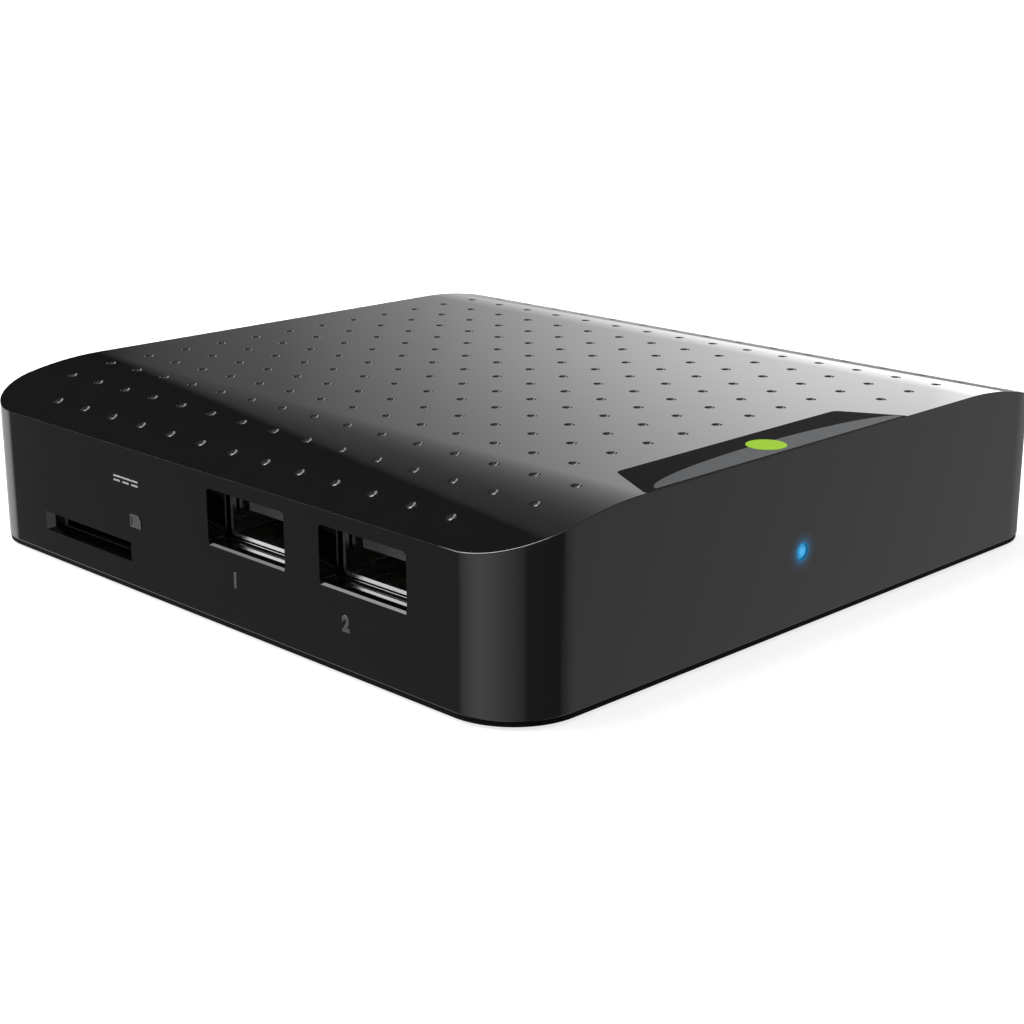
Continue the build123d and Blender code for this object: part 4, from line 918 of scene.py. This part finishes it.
# %% [markdown]
# ## Marks on the side wall
# The side wall carries raised marks, moulded in the wall's own plastic but given a lighter grey,
# which is painted sheen for the light their small faces catch. Here they are generic: the numbers 1
# and 2 stand under the two sockets. Text is given its thickness and its rounded edge as a text
# object, and becomes a mesh before it is turned to face out of the wall.
# %% Moulded numbers

NUMBER_HEIGHT = 1.8
SIZE_PER_HEIGHT = 1.4
NUMBER_SWELL = 0.08
NUMBER_REACH = 0.07
NUMBER_EDGE = 0.04


def add_number(text, y, z):
    deselect()
    bpy.ops.object.text_add(location=(0, 0, 0))
    label = bpy.context.object
    label.data.body = text
    label.data.align_x = "CENTER"
    label.data.align_y = "CENTER"
    label.data.size = NUMBER_HEIGHT * SIZE_PER_HEIGHT
    label.data.offset = NUMBER_SWELL
    label.data.extrude = NUMBER_REACH
    label.data.bevel_depth = NUMBER_EDGE
    label.data.bevel_resolution = 1
    bpy.ops.object.convert(target="MESH")
    label.matrix_world = Matrix(((0, 0, -1, -HALF), (-1, 0, 0, y), (0, 1, 0, z), (0, 0, 0, 1)))
    piece = new_piece("moulded_number_" + text)
    pick(piece, "VERT", lambda co: True)
    bpy.ops.mesh.remove_doubles(threshold=0.002)
    bpy.ops.mesh.normals_make_consistent(inside=False)
    leave()
    dress(piece, mark_painted_sheen)
    print("faces of the number:", len(piece.data.polygons))


add_number("1", -5.7, 6.8)
add_number("2", -26.0, 6.5)

# %% [markdown]
# ## The card sign
# Beside the card slot stands the plain outline of a memory card, with one corner cut off. The same
# plate is made twice, the second one smaller, and that one sinks the middle of the first.
# %% Moulded card sign

SIGN_NEAR = 13.6
SIGN_FAR = 15.9
SIGN_LOW = 9.0
SIGN_HIGH = 10.6
SIGN_CUT = 0.5
SIGN_REACH = 0.1
SIGN_THICKNESS = 0.12
SIGN_FRAME = 0.22


def card_plate(reach, inset):
    """A plate that stands out of the wall by a reach, smaller all round by an inset."""
    plate = box_piece((-HALF - reach, SIGN_NEAR + inset, SIGN_LOW + inset),
                      (-HALF - reach + SIGN_THICKNESS, SIGN_FAR - inset, SIGN_HIGH - inset), "moulded_card")
    pick(plate, "EDGE", lambda a, b: abs(a.x - b.x) > SIGN_THICKNESS / 2
         and a.y < SIGN_NEAR + SIGN_CUT and a.z > SIGN_HIGH - SIGN_CUT)
    bpy.ops.mesh.bevel(offset=SIGN_CUT - inset / 2, segments=1, affect="EDGES")
    leave()
    return plate


card_mark = card_plate(SIGN_REACH, 0.0)
carve(card_mark, card_plate(SIGN_REACH + 0.04, SIGN_FRAME))
# The card sign's lighter grey is painted sheen, as on the numbers.
dress(card_mark, mark_painted_sheen)
print("faces of the card sign:", len(card_mark.data.polygons))

# %% [markdown]
# ## The sign for direct current
# The sign is one long stroke over three short ones, in white print. The strokes are flat bars, and
# they are joined to one piece, because they are printed in one go.
# %% Printed strokes

STROKE_LEFT = 19.2
STROKE_RIGHT = 13.9
STROKE_WIDTH = 0.22
UPPER_STROKE = 14.98
LOWER_STROKE = 14.42
DASH = 1.4
DASH_PITCH = 1.95


def stroke(left, right, low):
    return box_piece((-HALF - PRINT_HEIGHT, right, low), (-HALF + 0.01, left, low + STROKE_WIDTH), "stroke")


strokes = [stroke(STROKE_LEFT, STROKE_RIGHT, UPPER_STROKE)]
for number in range(3):
    left = STROKE_LEFT - number * DASH_PITCH
    strokes.append(stroke(left, left - DASH, LOWER_STROKE))
dress(join(strokes, "direct_current_sign"), print_white)
print("strokes of the sign:", len(strokes))

# %% [markdown]
# ## Camera
# The camera stands where the photograph was taken from: in front of the near corner and a little
# above, with a 67 mm lens.
# %% Camera

AZIMUTH = math.radians(-44.992)
ELEVATION = math.radians(16.578)
CAMERA_PLACE = (-0.18176, -0.18152, 0.07963)
LENS = 67.16

camera_data = bpy.data.cameras.new("camera")
camera_data.lens = LENS
camera_data.sensor_width = 36
camera_data.clip_start = 0.01
camera = bpy.data.objects.new("camera", camera_data)
bpy.context.scene.collection.objects.link(camera)
back = Vector((math.sin(AZIMUTH) * math.cos(ELEVATION), -math.cos(AZIMUTH) * math.cos(ELEVATION),
               math.sin(ELEVATION)))
across = Vector((math.cos(AZIMUTH), math.sin(AZIMUTH), 0))
up = back.cross(across)
turn = Matrix((across, up, back)).transposed()
camera.matrix_world = Matrix.Translation(CAMERA_PLACE) @ turn.to_4x4()
bpy.context.scene.camera = camera

# %% [markdown]
# ## The studio round the object
# A gloss object shows little of its own colour: it shows the room. So the room is a world that gives
# each direction its brightness. Directions are in degrees, with 0 at the back and 90 on the right.
# Below the horizon it holds the pale table with two dark flags, which make the soft bands on the
# rounded corner. Above, a tall light stands at the back on the left, and on the right a soft glow
# begins behind the case and fades with height. A dim ceiling and one round softbox, high at the
# back, light the roof.
# %% Brightness round the horizon

HALF_TURN = 180.0
TABLE_LIGHT = ((-180, 0.2), (-157, 0.22), (-150, 0.5), (-122, 0.95), (-92, 1.33), (-76, 1.05),
               (-61, 0.6), (-54, 0.27), (-30, 0.2), (-21, 1.1), (-13, 1.4), (2, 0.9), (30, 0.75),
               (66, 0.32), (86, 0.36), (108, 0.62), (133, 0.62), (144, 0.46), (151, 0.36), (156, 0.18),
               (180, 0.2))
WALL_LIGHT = ((-180, 0.3), (-120, 0.5), (-70, 0.5), (-48, 4.0), (-40, 6.0), (-26, 6.0), (-18, 1.0),
              (-10, 0.03), (32.5, 0.015), (34, 0.15), (84, 0.25), (180, 0.3))
GLOW_LIGHT = ((-180, 0.0), (34, 0.0), (38, 0.1), (42, 0.38), (46, 0.78), (50, 1.28), (54, 1.78),
              (58, 2.15), (61, 4.2), (64, 4.8), (70, 2.2), (80, 0.9), (106, 0.5), (140, 0.2), (180, 0.0))
GLOW_SHARE = ((0.0, 1.05), (0.14, 1.0), (0.21, 0.95), (0.24, 0.85), (0.31, 0.67), (0.37, 0.55),
              (0.44, 0.42), (0.5, 0.32), (0.56, 0.22), (0.68, 0.05), (1.0, 0.05))
CEILING_LIGHT = ((0.0, 0.0), (0.25, 0.005), (0.47, 0.025), (0.67, 0.06), (0.84, 0.15), (0.92, 0.7),
                 (0.96, 1.2), (1.0, 1.2))
PEAK = 6.0
KEY_RISE = math.radians(64)
KEY_LIGHT = ((0.0, 0.0), (0.945, 0.0), (0.968, 4.0), (1.0, 4.0))
KEY_GAIN = 3.8

world = bpy.data.worlds.new("studio")
bpy.context.scene.world = world
world.use_nodes = True
room = world.node_tree


def room_math(operation, first, second):
    """A math node between two values, each a number or another node's output."""
    node = room.nodes.new("ShaderNodeMath")
    node.operation = operation
    for socket, value in zip(node.inputs, (first, second)):
        if isinstance(value, (int, float)):
            socket.default_value = value
        else:
            room.links.new(value, socket)
    return node.outputs[0]


def room_ramp(source, stops, low=0.0, high=1.0):
    """Turns a value into a brightness, with straight lines between the stops."""
    span = room.nodes.new("ShaderNodeMapRange")
    span.inputs["From Min"].default_value = low
    span.inputs["From Max"].default_value = high
    room.links.new(source, span.inputs["Value"])
    ramp = room.nodes.new("ShaderNodeValToRGB")
    elements = ramp.color_ramp.elements
    places = [((place - low) / (high - low), level / PEAK) for place, level in stops]
    for element, (place, level) in zip(elements, (places[0], places[-1])):
        element.position = place
        element.color = (level, level, level, 1)
    for place, level in places[1:-1]:
        elements.new(place).color = (level, level, level, 1)
    room.links.new(span.outputs["Result"], ramp.inputs["Fac"])
    return room_math("MULTIPLY", ramp.outputs["Color"], PEAK)


# %% [markdown]
# ## Put the room together
# The direction's X and Y give its azimuth, as a compass would, and its Z says how high it looks. The
# softbox is round, so it is measured by the angle between each direction and its own.
# %% Join the lights

HORIZON_BLUR = 0.02


def round_the_room(stops):
    """Brightness that changes with the compass direction alone."""
    return room_ramp(degrees, stops, -HALF_TURN, HALF_TURN)


looking = room.nodes.new("ShaderNodeTexCoord").outputs["Object"]
parts = room.nodes.new("ShaderNodeSeparateXYZ")
room.links.new(looking, parts.inputs[0])
compass = room_math("ARCTAN2", parts.outputs["X"], parts.outputs["Y"])
degrees = room_math("MULTIPLY", compass, HALF_TURN / math.pi)
table = round_the_room(TABLE_LIGHT)
glow = room_math("MULTIPLY", round_the_room(GLOW_LIGHT), room_ramp(parts.outputs["Z"], GLOW_SHARE))
wall = room_math("ADD", round_the_room(WALL_LIGHT), glow)
key_dot = room.nodes.new("ShaderNodeVectorMath")
key_dot.operation = "DOT_PRODUCT"
key_dot.inputs[1].default_value = (0, math.cos(KEY_RISE), math.sin(KEY_RISE))
room.links.new(looking, key_dot.inputs[0])
key = room_math("MULTIPLY", room_ramp(key_dot.outputs["Value"], KEY_LIGHT), KEY_GAIN)
ceiling = room_ramp(parts.outputs["Z"], CEILING_LIGHT)
above = room_math("ADD", room_math("ADD", wall, ceiling), key)
is_above = room.nodes.new("ShaderNodeMapRange")
is_above.inputs["From Min"].default_value = -HORIZON_BLUR
is_above.inputs["From Max"].default_value = HORIZON_BLUR
room.links.new(parts.outputs["Z"], is_above.inputs["Value"])
mixed = room.nodes.new("ShaderNodeMix")
room.links.new(is_above.outputs["Result"], mixed.inputs["Factor"])
room.links.new(table, mixed.inputs["A"])
room.links.new(above, mixed.inputs["B"])
room.nodes["Background"].inputs["Color"].default_value = (1, 1, 1, 1)
room.links.new(mixed.outputs["Result"], room.nodes["Background"].inputs["Strength"])
print("nodes in the room:", len(room.nodes))

# %% [markdown]
# ## The floor
# The floor is a plain pale sheet that only the camera sees. What the gloss mirrors below the
# horizon is the table of the room above, so the floor needs no shades of its own.
# %% Floor and view

FLOOR_SIZE = 90
FLOOR_GLOW = 0.75

floor_white = finish("studio_floor", grey(0.4, 0.42), (0.6, 0.7), scale=40, bump=0.0,
                     Specular_IOR_Level=0.0, Emission_Color=(1, 1, 1, 1), Emission_Strength=FLOOR_GLOW)
deselect()
bpy.ops.mesh.primitive_plane_add(size=FLOOR_SIZE, location=(0, 0, 0))
floor = new_piece("studio_floor")
floor.data.materials.append(floor_white)
for rays in ("visible_diffuse", "visible_glossy", "visible_transmission", "visible_shadow"):
    setattr(floor, rays, False)
bpy.context.scene.view_settings.view_transform = "Standard"
